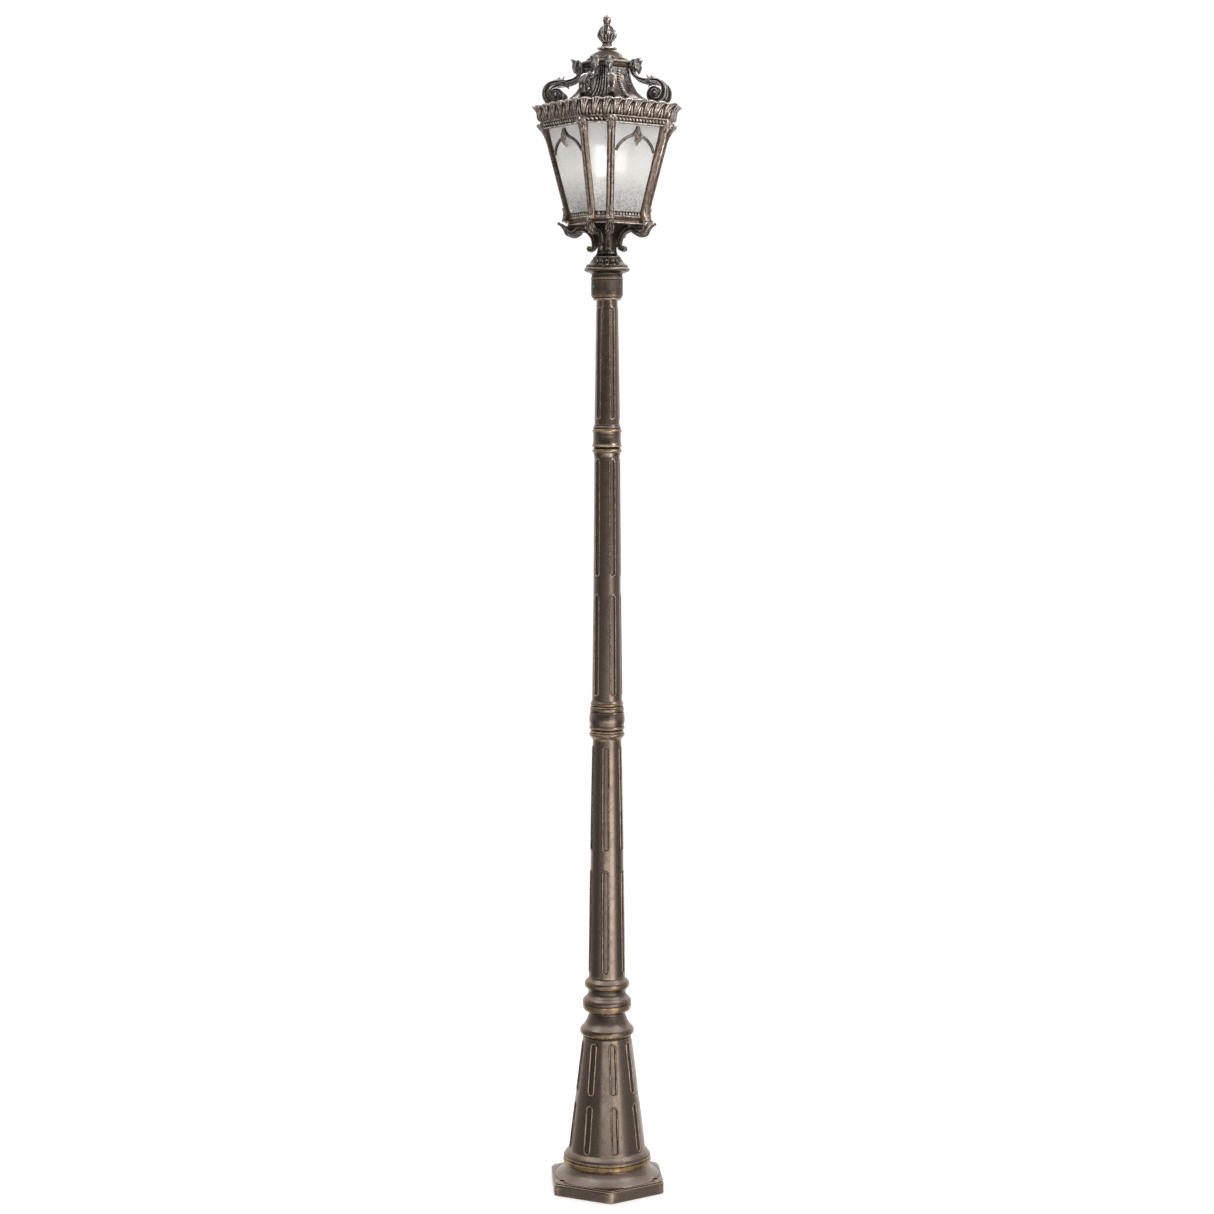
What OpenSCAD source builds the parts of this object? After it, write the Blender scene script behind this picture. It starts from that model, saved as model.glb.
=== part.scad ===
// Cast street lamp: fluted post on a hexagonal foot with an eight-sided lantern.
// +Z is up, the origin is at the centre of the foot's underside, front is -Y.

/* [Foot] */
// Corner radius of the hexagonal foot, centre to corner
foot_r = 170; // [168:1:176]
// Height of the foot's upright edge
foot_edge_h = 30; // [28:1:31]
// Turn of the foot's front corner from the front
foot_turn = 3.7; // [0:0.1:10]
// Radius of the open middle of the foot
foot_open_r = 92; // [86:1:94]
// Radius of the circle of anchor holes
anchor_circle_r = 145; // [143:0.5:146]
// Radius of each anchor hole
anchor_hole_r = 6.5; // [5:0.5:7]
// Radius of the raised pad round each anchor hole
anchor_pad_r = 13; // [11:0.5:14]

/* [Pedestal] */
// Radius at the foot of the pedestal cone
pedestal_r1 = 103; // [101:0.5:104]
// Radius at the top of the pedestal cone
pedestal_r2 = 64.6; // [63:0.1:66]
// Wall of the pedestal
pedestal_wall = 8; // [6:0.5:10]
// Number of flutes round the pedestal
pedestal_flutes = 8; // [6:1:9]
// Width of a pedestal flute
pedestal_flute_w = 16; // [12:1:20]

/* [Shafts] */
// Depth of every flute
flute_depth = 2.2; // [1:0.1:3]
// Number of flutes round each shaft
shaft_flutes = 5; // [4:1:7]
// Width of a lower shaft flute
lower_flute_w = 13; // [10:1:18]
// Width of a middle shaft flute
middle_flute_w = 13; // [9:1:16]
// Width of an upper shaft flute
upper_flute_w = 11; // [8:1:14]
// Bore of the lower shaft
lower_bore_r = 30; // [28:0.5:31]
// Bore of the middle shaft
middle_bore_r = 26; // [24:0.5:27]
// Bore of the upper shaft
upper_bore_r = 21; // [19:0.5:22]
// Wire way through the couplings
wire_way_r = 14; // [10:0.5:16]

/* [Fitter] */
// Radius of the post-top tenon (nominal 3 inch)
tenon_r = 38.05; // [38.01:0.01:38.09]
// Bore of the fitter that turns on the tenon
fitter_bore_r = 38.1; // [38.1:0.01:38.1]
// Outside radius of the fitter
fitter_r = 42; // [41.5:0.1:43]
// Radius of each grub screw
grub_r = 3.9; // [3:0.1:3.9]

/* [Lantern] */
// Turn of the front narrow face from the front
lantern_turn = -9.3; // [-15:0.1:15]
// Half angle of a narrow face
narrow_half = 13.3; // [13:0.1:14]
// Glass thickness
glass_t = 4; // [3:0.5:5]
// Width of a leg console at the tray
leg_w = 20; // [16:1:22]
// Width of a leg console at the hub
leg_neck_w = 12; // [9:1:12]
// Width of a hip scroll
scroll_w = 18; // [14:1:20]
// Wall of the roof
roof_wall = 4; // [3:0.5:5]

/* [Lamps] */
// Radius of the circle of candles
candle_circle_r = 46; // [42:1:50]
// Radius of a candle sleeve
sleeve_r = 11; // [10.5:0.1:12]
// Largest radius of a bulb
bulb_r = 17; // [14:0.5:18]

/* [Hidden] */

// Levels up the post
z_foot = 65;
z_ped0 = 105;
z_ped1 = 410;
z_low0 = 577;
z_low1 = 1213;
z_mid0 = 1320;
z_mid1 = 1966;
z_up0 = 2052;
z_up1 = 2378;
z_rim = 2391;
z_fit = 2438;
z_cup = 2446;
z_hub = 2501;
z_tray = 2572;
z_band = 2590;
z_glass0 = 2606;
z_glass1 = 2822;
z_gal = 2842;

// Outer corner radius of the glass: it leans out by glass_lean per mm of height
glass_lean = 0.2605;
function glass_R(z) = 104.4 + glass_lean * (z - 2608);

// Compass angle of lantern corner k (0 to 7), measured from the front towards +X
function corner_psi(k) = lantern_turn + 90 * floor(k / 2) + ((k % 2 == 0) ? -narrow_half : narrow_half);
// Half angle and direction of the face between corner k and corner k+1
wide_half = 45 - narrow_half;
function narrow_psi(i) = lantern_turn + 90 * i;
function wide_psi(i) = lantern_turn + 45 + 90 * i;

bronze = [0.40, 0.345, 0.30];
bronze_dark = [0.30, 0.25, 0.21];
gilt = [0.60, 0.46, 0.27];
copper = [0.42, 0.33, 0.27];
steel = [0.62, 0.62, 0.63];

// ---------- helpers ----------

// Turns a radial drawing (X outwards, Z up) to compass angle psi
module at(psi) { rotate([0, 0, psi - 90]) children(); }

// A plain turned solid from (radius, height) points
module turned(pts) { rotate_extrude($fn = 96) polygon(pts); }

// A turned tube: outer profile upwards, then the bore
module turned_tube(outer, bore) {
    turned(concat([[bore, outer[0][1]]], outer, [[bore, outer[len(outer) - 1][1]]]));
}

// Closed ring of eight mitred lengths: prof is a closed (corner radius, height) outline
module ring8(prof) {
    n = len(prof);
    pts = [for (k = [0:7]) for (p = prof)
        [p[0] * sin(corner_psi(k)), -p[0] * cos(corner_psi(k)), p[1]]];
    quads = [for (k = [0:7]) for (i = [0:n - 1])
        let (k2 = (k + 1) % 8, j = (i + 1) % n)
        [k * n + i, k * n + j, k2 * n + j, k2 * n + i]];
    polyhedron(pts, quads, convexity = 6);
}

// Eight-sided plate of corner radius r
module plate8(r, z0, z1) {
    translate([0, 0, z0]) linear_extrude(z1 - z0)
        polygon([for (k = [0:7]) r * [sin(corner_psi(k)), -cos(corner_psi(k))]]);
}

// Closed skin through a list of sections, each an equal-length loop seen counter-clockwise from above
module skin(secs) {
    m = len(secs);
    n = len(secs[0]);
    pts = [for (s = secs) for (p = s) p];
    side = [for (j = [0:m - 2]) for (i = [0:n - 1])
        let (i2 = (i + 1) % n, a = j * n + i, b = j * n + i2, c = (j + 1) * n + i2, d = (j + 1) * n + i)
        each [[a, d, c], [a, c, b]]];
    polyhedron(pts, concat([[for (i = [0:n - 1]) i]], side,
        [[for (i = [n - 1:-1:0]) (m - 1) * n + i]]), convexity = 6);
}

// Smooth curve through hand-set points, q steps a span
function curve(p, q) = [for (i = [0:len(p) - 2]) for (s = [0:q - 1])
    let (a = p[max(i - 1, 0)], b = p[i], c = p[i + 1], d = p[min(i + 2, len(p) - 1)], t = s / q)
    0.5 * (2 * b + (c - a) * t + (2 * a - 5 * b + 4 * c - d) * t * t + (3 * b - a - 3 * c + d) * t * t * t),
    p[len(p) - 1]];
function along(p, i) = let (a = p[max(i - 1, 0)], b = p[min(i + 1, len(p) - 1)]) (b - a) / norm(b - a);
function across(p, i) = let (t = along(p, i)) [-t[1], t[0]];
// Outline of a band that follows p, with half width w0 at the start and w1 at the end
function band(p, w0, w1) = let (n = len(p), w = function (i) w0 + (w1 - w0) * i / (n - 1)) concat(
    [for (i = [0:n - 1]) p[i] + w(i) * across(p, i)],
    [for (i = [n - 1:-1:0]) p[i] - w(i) * across(p, i)]);

// Long slot with round ends, cut depth deep into a leaning side: from height za (radius ra) to zb (radius rb)
module flute(psi, za, ra, zb, rb, w, depth) {
    lean = atan((ra - rb) / (zb - za));
    len = norm([ra - rb, zb - za]);
    at(psi) translate([ra, 0, za]) rotate([0, -lean, 0]) rotate([90, 0, 90])
        translate([0, 0, -depth]) linear_extrude(depth + 12) {
            translate([-w / 2, w / 2]) square([w, len - w]);
            translate([0, w / 2]) circle(d = w, $fn = 24);
            translate([0, len - w / 2]) circle(d = w, $fn = 24);
        }
}

// ---------- post ----------

function hex_outline(r, round) = [for (k = [0:5]) for (s = [-2:2])
    let (psi = foot_turn + 60 * k, c = r - round / cos(30), a = psi + s * 15)
    [c * sin(psi) + round * sin(a), -c * cos(psi) - round * cos(a)]];

module foot() {
    color(bronze) difference() {
        union() {
            linear_extrude(foot_edge_h) polygon(hex_outline(foot_r, 16));
            translate([0, 0, foot_edge_h]) linear_extrude(4) polygon(hex_outline(foot_r - 4, 15));
            intersection() {
                linear_extrude(z_foot) polygon(hex_outline(foot_r - 6, 14));
                turned([[0, foot_edge_h], [150, foot_edge_h], [150, foot_edge_h + 4], [141, 35.2], [134.5, 38.6], [127.5, 44],
                    [121, 50], [115.8, 57.5], [112, z_foot], [0, z_foot]]);
            }
            for (k = [0:2]) at(foot_turn + 60 + 120 * k)
                translate([anchor_circle_r, 0, 0]) cylinder(r = anchor_pad_r, h = foot_edge_h + 7, $fn = 48);
        }
        translate([0, 0, -1]) cylinder(r = foot_open_r, h = z_foot + 2, $fn = 96);
        for (k = [0:2]) at(foot_turn + 60 + 120 * k)
            translate([anchor_circle_r, 0, -1]) cylinder(r = anchor_hole_r, h = 60, $fn = 48);
    }
}

module foot_ring() {
    color(gilt) turned_tube([[112, z_foot], [115.7, 67], [117.6, 70], [118.5, 74.5], [118, 78], [116, 80.7],
        [115.6, 81.6], [117, 84], [117, 86.6], [115.8, 89.4], [113, 94], [110.5, 97], [107, 101], [103.5, z_ped0]],
        foot_open_r);
}

function pedestal_r(z) = pedestal_r1 + (pedestal_r2 - pedestal_r1) * (z - z_ped0) / (z_ped1 - z_ped0);

module pedestal() {
    color(bronze) difference() {
        turned([[0, z_ped0], [pedestal_r1, z_ped0], [pedestal_r2, z_ped1], [0, z_ped1]]);
        turned([[0, z_ped0 - 1], [pedestal_r1 - pedestal_wall, z_ped0 - 1],
            [pedestal_r(z_ped1 - 12) - pedestal_wall, z_ped1 - 12], [0, z_ped1 - 12]]);
        translate([0, 0, z_ped1 - 20]) cylinder(r = lower_bore_r, h = 30, $fn = 72);
        for (k = [0:pedestal_flutes - 1]) {
            flute(12.5 + 360 / pedestal_flutes * k, 110, pedestal_r(110), 235, pedestal_r(235),
                pedestal_flute_w, flute_depth);
            flute(12.5 + 360 / pedestal_flutes * k, 266, pedestal_r(266), 400, pedestal_r(400),
                pedestal_flute_w, flute_depth);
        }
    }
}

// Hidden spigots that line up and join the castings
module pedestal_coupling() {
    color(steel) turned_tube([[lower_bore_r, z_ped1 - 12], [lower_bore_r, z_low0 + 90]], wire_way_r);
}
module lower_coupling() {
    color(steel) turned_tube([[lower_bore_r, z_low1 - 90], [lower_bore_r, 1266], [middle_bore_r, 1266],
        [middle_bore_r, z_mid0 + 90]], wire_way_r);
}
module upper_coupling() {
    color(steel) turned_tube([[middle_bore_r, z_mid1 - 90], [middle_bore_r, 2009], [upper_bore_r, 2009],
        [upper_bore_r, z_up0 + 90]], wire_way_r);
}

module pedestal_collar() {
    color(bronze) turned_tube([[63.5, z_ped1], [62.7, 413], [65.6, 416], [70.5, 420], [72.4, 424], [72.4, 429],
        [71, 433], [68.8, 438], [63.3, 443], [58.7, 449], [55.9, 454], [52.4, 462], [49.4, 471], [48, 476],
        [49.9, 479], [56.7, 481.6], [61.5, 484], [64, 488], [65.1, 493], [65.1, 500], [65.5, 506], [64, 512],
        [60.6, 517], [54, 522.5], [50.6, 528], [49.7, 533], [51, 537], [53.8, 542], [58.6, 547], [60.2, 552],
        [60, 557], [58.3, 561], [54.6, 566], [50.3, 570], [49.2, 573], [49.2, z_low0]], lower_bore_r);
}

module shaft(prof, bore, psi0, tiers, w, c = bronze) {
    r = function (z) lookup(z, [for (p = prof) [p[1], p[0]]]);
    color(c) difference() {
        turned_tube(prof, bore);
        for (k = [0:shaft_flutes - 1]) for (t = tiers)
            flute(psi0 + 360 / shaft_flutes * k, t[0], r(t[0]), t[1], r(t[1]), w, flute_depth);
    }
}

module lower_shaft() {
    shaft([[48.5, z_low0], [45.8, 778], [41.4, 1049], [38, z_low1]], lower_bore_r, -2.5,
        [[587, 863], [918, 1198]], lower_flute_w);
}
module middle_shaft() {
    shaft([[39.9, z_mid0], [36.5, 1590], [34.4, 1852], [33.6, z_mid1]], middle_bore_r, 24.7,
        [[1335, 1602], [1653, 1960]], middle_flute_w);
}
module upper_shaft() {
    shaft([[33.2, z_up0], [31.1, 2181], [27.8, z_up1]], upper_bore_r, 27,
        [[2068, 2358]], upper_flute_w);
}

module lower_collar() {
    color(bronze) difference() {
        turned([[0, z_low1], [38.6, z_low1], [41.2, 1219], [45.2, 1224], [47.1, 1227], [47.1, 1230], [44.6, 1232.5],
            [45.2, 1236], [43, 1240], [43.4, 1242], [46.9, 1244], [46.9, 1246.5], [44.8, 1251], [46.2, 1258],
            [47.1, 1267], [46.8, 1277], [45.5, 1286], [44.2, 1289], [45, 1293], [45, 1298], [44, 1302],
            [42.2, 1305], [43.5, 1309], [43.2, 1312], [42, 1316], [40.4, z_mid0], [0, z_mid0]]);
        translate([0, 0, z_low1 - 1]) cylinder(r = lower_bore_r, h = 1266 - z_low1 + 1, $fn = 72);
        translate([0, 0, 1265]) cylinder(r = middle_bore_r, h = 80, $fn = 72);
    }
}

module upper_collar() {
    color(bronze) difference() {
        turned([[0, z_mid1], [34, z_mid1], [34.6, 1973], [36, 1978.5], [39, 1981], [39.2, 1984], [37, 1987],
            [35, 1990], [34.2, 1992.5], [40, 1994], [40.3, 1995.5], [39.2, 1997], [38.2, 2000], [37.2, 2005],
            [36.4, 2014], [36.5, 2023], [37, 2031], [38.8, 2034], [38.8, 2037], [36.4, 2039.5], [36.4, 2046],
            [34.6, 2048.5], [34, z_up0], [0, z_up0]]);
        translate([0, 0, z_mid1 - 1]) cylinder(r = middle_bore_r, h = 2009 - z_mid1 + 1, $fn = 72);
        translate([0, 0, 2008]) cylinder(r = upper_bore_r, h = 80, $fn = 72);
    }
}

module post_top_rim() {
    color(gilt) turned_tube([[29, z_up1], [36, 2379], [37.6, 2381.5], [36.6, 2384], [40.5, 2387], [41.2, 2389],
        [41, z_rim]], upper_bore_r);
}

module post_top_tenon() {
    color(steel) turned_tube([[tenon_r, z_rim], [tenon_r, z_fit - 2], [tenon_r - 2, z_fit]], tenon_r - 5);
}

// ---------- lantern: fitter, cup, hub and legs ----------

module fitter() {
    color(bronze_dark) difference() {
        turned([[0, z_rim], [fitter_r - 0.4, z_rim], [fitter_r - 0.4, 2431], [fitter_r + 0.5, 2433],
            [fitter_r + 0.5, 2437], [fitter_r - 1, 2440], [40.7, z_cup], [0, z_cup]]);
        translate([0, 0, z_rim - 1]) cylinder(r = fitter_bore_r, h = z_fit - z_rim + 1, $fn = 96);
        cylinder(r = 10, h = 3000, $fn = 48);
        for (k = [0:2]) at(60 + 120 * k) translate([34, 0, 2414]) rotate([0, 90, 0])
            cylinder(r = grub_r + 0.1, h = 14, $fn = 32);
    }
}

module grub_screws() {
    color(steel) for (k = [0:2]) at(60 + 120 * k) translate([fitter_bore_r + 0.05, 0, 2414]) rotate([0, 90, 0])
        difference() {
            cylinder(r = grub_r, h = fitter_r - 0.4 - fitter_bore_r - 0.15, $fn = 32);
            translate([0, 0, 1.2]) cylinder(r = 2, h = 6, $fn = 6);
        }
}

module neck_cup() {
    color(copper) turned_tube([[40.7, z_cup], [42.8, 2449], [49.1, 2451.5], [56.4, 2454], [59, 2456.5], [60, 2459],
        [59.5, 2462], [58.2, 2465], [55.8, 2467], [54.6, 2470], [51.5, 2472], [45.3, 2475], [41.8, 2478],
        [40.9, 2480], [38.5, 2485], [36.7, 2490.5], [33.9, 2493], [30.8, 2496], [28.5, 2498.5], [27.4, z_hub]], 10);
}

module neck_hub() {
    color(copper) turned_tube([[27.4, z_hub], [26.6, 2508], [26.6, z_tray]], 10);
}

leg_arch = curve([[42, 2513], [36, 2520], [36, 2534], [42, 2549], [54, 2560], [70, 2564], [84, 2563]], 5);
function leaf_foot() = [[66, z_tray - 0.05], [66, 2564], [70, 2556], [77, 2551], [85, 2547], [93, 2544.5], [102, 2545],
    [109, 2550], [113, 2557], [116.5, 2566], [121, 2571], [127, 2575], [129, 2577], [129, 2579.5], [126, 2581.5],
    [119, 2580], [112, 2577], [107, z_tray - 0.05]];

// One console: a rolled leaf under the corner post, an arch and a small scroll at the neck
module leg_console() {
    rotate([90, 0, 0]) {
        translate([0, 0, -leg_w / 2]) linear_extrude(leg_w) polygon(leaf_foot());
        translate([0, 0, -leg_neck_w / 2]) linear_extrude(leg_neck_w) {
            polygon(band(leg_arch, 4, 7));
            translate([45.5, 2514]) circle(r = 7, $fn = 32);
            translate([26.65, 2522]) square([10, 22]);
        }
    }
}
module leg_consoles() {
    color(copper) for (k = [0:7]) at(corner_psi(k)) leg_console();
}

// ---------- lantern: cage ----------

module tray() {
    color(copper) difference() {
        plate8(104, z_tray, z_band);
        plate8(98, z_tray + 5, z_band + 1);
        translate([0, 0, z_tray - 1]) cylinder(r = 10, h = 20, $fn = 48);
    }
}

module tray_band() {
    color(copper) difference() {
        plate8(104, z_band, z_glass0);
        plate8(90, z_band - 1, z_glass0 + 1);
    }
}

// Horizontal section of a corner post in radial axes: back is a V that fits the two glass faces
function post_section(k, z, rb, ro, hw) =
    let (
        psi = corner_psi(k),
        // the face on each side of the corner, as a step along it away from the corner
        nl = (k % 2 == 0) ? wide_half : narrow_half,
        nr = (k % 2 == 0) ? narrow_half : wide_half,
        bl = [-hw * tan(nl), -hw],
        br = [-hw * tan(nr), hw],
        loop = [[rb, 0], [rb + bl[0], bl[1]], [ro - 5, -hw], [ro, -hw + 5], [ro, hw - 5], [ro - 5, hw], [rb + br[0], br[1]]]
    ) [for (p = loop) [p[0] * sin(psi) + p[1] * cos(psi), -p[0] * cos(psi) + p[1] * sin(psi), z]];

post_rows = [[2583, 120, 11], [2592, 116, 10.5], [2603, 113, 10], [2608, 112.4, 10], [2660, 126, 10], [2780, 157.2, 10],
    [2796, 161.8, 10], [2805, 164.6, 10.5], [2812, 168, 11], [2818, 173, 11.5], [2821.9, 176, 12]];

module corner_post(k) {
    color(copper) skin([for (r = post_rows) post_section(k, r[0], glass_R(max(r[0], 2608)) + 0.1, r[1], r[2])]);
}
module corner_post_1() { corner_post(0); }
module corner_post_2() { corner_post(1); }
module corner_post_3() { corner_post(2); }
module corner_post_4() { corner_post(3); }
module corner_post_5() { corner_post(4); }
module corner_post_6() { corner_post(5); }
module corner_post_7() { corner_post(6); }
module corner_post_8() { corner_post(7); }

module post_capitals() {
    color(copper) for (k = [0:7]) skin([for (r = [[2822, 177, 12], [2826, 181, 13], [2830, 183, 13], [2834, 180, 13],
        [2839, 177, 12]]) post_section(k, r[0], 174.1, r[1], r[2])]);
}

// A flat sheet on face psi: drawn in (u, height) and laid on the leaning glass plane
face_lean = atan(glass_lean * cos(wide_half));
module on_wide(psi, z, out) {
    at(psi) translate([glass_R(z) * cos(wide_half), 0, z]) rotate([0, face_lean, 0]) rotate([90, 0, 90])
        translate([0, 0, out]) children();
}

// Glass pane between two corners, mitred at both edges
module pane(ka, kb, gap, tint) {
    sec = function (z, inner)
        let (
            pa = corner_psi(ka), pb = corner_psi(kb),
            a = glass_R(z) * [sin(pa), -cos(pa)], b = glass_R(z) * [sin(pb), -cos(pb)],
            e = (b - a) / norm(b - a), n = [-e[1], e[0]], half = (ka % 2 == 0) ? narrow_half : wide_half,
            s = gap + glass_t * tan(half)
        ) [for (p = [a + e * gap, b - e * gap, b - e * s + n * glass_t, a + e * s + n * glass_t]) [p[0], p[1], z]];
    color(tint) skin([sec(z_glass0 + 0.5, 0), sec(z_glass1 - 0.5, 0)]);
}
glass = [0.86, 0.88, 0.88, 0.45];
module narrow_pane_1() { pane(0, 1, 1, glass); }
module narrow_pane_2() { pane(2, 3, 1, glass); }
module narrow_pane_3() { pane(4, 5, 1, glass); }
module narrow_pane_4() { pane(6, 7, 1, glass); }
module wide_pane_1() { pane(1, 2, 1, glass); }
module wide_pane_2() { pane(3, 4, 1, glass); }
module wide_pane_3() { pane(5, 6, 1, glass); }
module wide_pane_4() { pane(7, 0, 1, glass); }

// Ogee arch across a wide face with a leaf hanging under its point
arch_half = curve([[-60.4, -25], [-50.5, -8], [-36, 6], [-16, 16], [0, 38]], 5);
module tracery() {
    linear_extrude(6) {
        polygon(band(arch_half, 2.5, 3.5));
        mirror([1, 0]) polygon(band(arch_half, 2.5, 3.5));
        polygon([[0, 38], [-5, 26], [-13, 12], [-12, 2], [-5, -7], [0, -12], [5, -7], [12, 2], [13, 12], [5, 26]]);
    }
}
module tracery_arches() {
    color(copper) for (i = [0:3]) on_wide(wide_psi(i), 2780, 0.1) tracery();
}

module top_frame() {
    color(copper) ring8([[150, z_glass1], [174, z_glass1], [172.5, 2828], [174, 2834], [174, z_gal], [150, z_gal]]);
}

module leaf_gallery() {
    color(bronze) ring8([[161, z_gal], [177, z_gal], [182, 2847], [184.5, 2856], [187, 2867], [192, 2873.5],
        [198, 2880], [197, 2884], [190, 2889], [186, 2887.5], [191, 2882.5], [186, 2875.5], [181, 2868],
        [178.5, 2857], [176, 2850], [171, 2847], [161, 2847]]);
}

// ---------- lamps ----------

module lamp_stem() { color(gilt) turned_tube([[14, z_tray + 5], [14, z_tray + 8], [8, z_tray + 11], [8, 2628]], 5); }

module lamp_cluster() {
    color(gilt) union() {
        translate([0, 0, 2628]) cylinder(r = 18, h = 18, $fn = 64);
        for (i = [0:3]) at(wide_psi(i)) {
            translate([0, -3.5, 2632]) cube([candle_circle_r, 7, 6]);
            translate([candle_circle_r, 0, 2630]) cylinder(r = 6, h = 10, $fn = 32);
        }
    }
}
module at_candle(i) { at(wide_psi(i)) translate([candle_circle_r, 0, 0]) children(); }
module candle_cups() {
    color(gilt) for (i = [0:3]) at_candle(i) turned([[0, 2640], [8, 2640], [13, 2642], [16, 2646], [15, 2647],
        [12, 2644], [0, 2643]]);
}
module candle_sleeves() {
    color([0.80, 0.77, 0.68]) for (i = [0:3]) at_candle(i) turned_tube([[sleeve_r, 2644.2], [sleeve_r, 2712]],
        sleeve_r - 1.4);
}
module lampholders() {
    color([0.85, 0.85, 0.82]) for (i = [0:3]) at_candle(i) difference() {
        turned([[0, 2644.2], [sleeve_r - 1.5, 2644.2], [sleeve_r - 1.5, 2710], [0, 2710]]);
        translate([0, 0, 2692]) cylinder(r = 7, h = 30, $fn = 48);
    }
}
module bulb(i) {
    color([1.0, 0.95, 0.85, 0.8]) at_candle(i) turned([[0, 2693], [3, 2693], [6.8, 2696], [6.8, 2711], [9, 2714],
        [13, 2720], [16, 2727], [bulb_r, 2735], [16, 2745], [13, 2757], [9, 2770], [5, 2781], [2, 2788], [0, 2790]]);
}
module bulb_1() { bulb(0); }
module bulb_2() { bulb(1); }
module bulb_3() { bulb(2); }
module bulb_4() { bulb(3); }

module threaded_rod() { color(steel) translate([0, 0, 2646]) cylinder(r = 4, h = 3052 - 2646, $fn = 32); }

// ---------- roof ----------

roof_out = [[158, z_gal], [158, 2868], [150, 2877], [137, 2884.5], [123, 2890.5], [110, 2896.5], [99.5, 2903],
    [89, 2911.5], [81, 2920], [72.5, 2932], [66, 2945], [62, 2960], [60, 2980]];
module roof_shell() {
    t = roof_wall;
    color(bronze) ring8(concat([[158 - t, z_gal]], roof_out, [[10, 2980], [10, 2976], [56, 2976]],
        [for (i = [len(roof_out) - 2:-1:1]) roof_out[i] + t * across(roof_out, i)]));
}

function roof_R(z) = lookup(z, [for (p = roof_out) [p[1], p[0]]]);

// Twisted-rope rib down the middle of each wide roof panel
rib_pts = [for (i = [2:12]) [roof_out[i][0] * cos(wide_half), min(roof_out[i][1], 2979.2)]];
module rope_ribs() {
    color(copper) for (i = [0:3]) at(wide_psi(i)) rotate([90, 0, 0]) translate([0, 0, -4]) linear_extrude(8)
        polygon(concat([for (j = [0:10]) rib_pts[j] + 0.1 * across(rib_pts, j) * -1],
            [for (j = [10:-1:0]) rib_pts[j] - 4 * across(rib_pts, j)]));
}

// Hip scroll: leaf head at the cap, stem down the hip and a volute that overhangs the gallery
volute = [for (a = [100:-20:-480]) let (r = 30.5 * exp(-0.0026 * (100 - a))) [134, 2913] + r * [cos(a), sin(a)]];
scroll_line = concat(curve([[74, 2990], [70.5, 2980], [70.5, 2966], [80, 2954], [100, 2948], [118, 2947.5]], 4), volute);
module hip_scroll() {
    rotate([90, 0, 0]) translate([0, 0, -scroll_w / 2]) linear_extrude(scroll_w) {
        polygon(band(scroll_line, 3.2, 3));
        polygon([[69, 2984], [66.2, 2987], [66.2, 2996], [74, 3000], [84, 3002], [94, 3001], [93, 2990], [90, 2976], [86, 2968],
            [80, 2970], [78, 2982]]);
        polygon([[108, 2944], [112, 2954], [118, 2952], [124, 2955], [126, 2944]]);
    }
}
module hip_scrolls() {
    color(bronze) for (k = [0:7]) at(corner_psi(k)) hip_scroll();
}

module roof_cap() {
    color(bronze) difference() {
        union() {
            ring8([[20, 2980], [62, 2980], [65, 2984], [66, 2996], [61, 2999], [20, 2999]]);
            turned([[0, 2981], [54, 2981], [54, 3003], [50, 3008], [45, 3013.5], [41, 3018.5], [35, 3023.5], [28, 3027],
                [0, 3027.5]]);
        }
        translate([0, 0, 2900]) cylinder(r = 5.2, h = 200, $fn = 48);
        turned([[0, 2979], [48, 2979], [44, 3000], [30, 3014], [0, 3020]]);
    }
}

module finial_washer() { color([0.15, 0.15, 0.15]) turned_tube([[14, 3027.5], [14, 3029.5]], 5.2); }

module finial() {
    color(gilt) difference() {
        turned([[0, 3029.5], [24, 3029.5], [26.4, 3031.5], [26.4, 3034], [22, 3038], [17, 3042], [13.4, 3044.5],
            [13.2, 3047], [15.5, 3050.5], [18.5, 3054], [22, 3059], [24.6, 3064], [25.2, 3068], [24, 3073.5],
            [21, 3079.5], [17, 3085], [13, 3089.5], [9.4, 3093], [8.6, 3096], [9, 3098], [10.2, 3101.5], [10.8, 3105],
            [10.4, 3109], [9, 3113.5], [6.5, 3117], [3, 3119.3], [0, 3120]]);
        translate([0, 0, 3000]) cylinder(r = 4.5, h = 60, $fn = 48);
    }
}

foot();
foot_ring();
pedestal();
pedestal_coupling();
pedestal_collar();
lower_shaft();
lower_coupling();
lower_collar();
middle_shaft();
upper_coupling();
upper_collar();
upper_shaft();
post_top_rim();
post_top_tenon();
fitter();
grub_screws();
neck_cup();
neck_hub();
leg_consoles();
tray();
tray_band();
corner_post_1();
corner_post_2();
corner_post_3();
corner_post_4();
corner_post_5();
corner_post_6();
corner_post_7();
corner_post_8();
post_capitals();
wide_pane_1();
wide_pane_2();
wide_pane_3();
wide_pane_4();
narrow_pane_1();
narrow_pane_2();
narrow_pane_3();
narrow_pane_4();
tracery_arches();
top_frame();
leaf_gallery();
lamp_stem();
lamp_cluster();
candle_cups();
candle_sleeves();
lampholders();
bulb_1();
bulb_2();
bulb_3();
bulb_4();
threaded_rod();
roof_shell();
rope_ribs();
hip_scrolls();
roof_cap();
finial_washer();
finial();
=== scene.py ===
import math

import bmesh
import bpy
import numpy as np
from mathutils import Matrix, Vector


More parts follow.
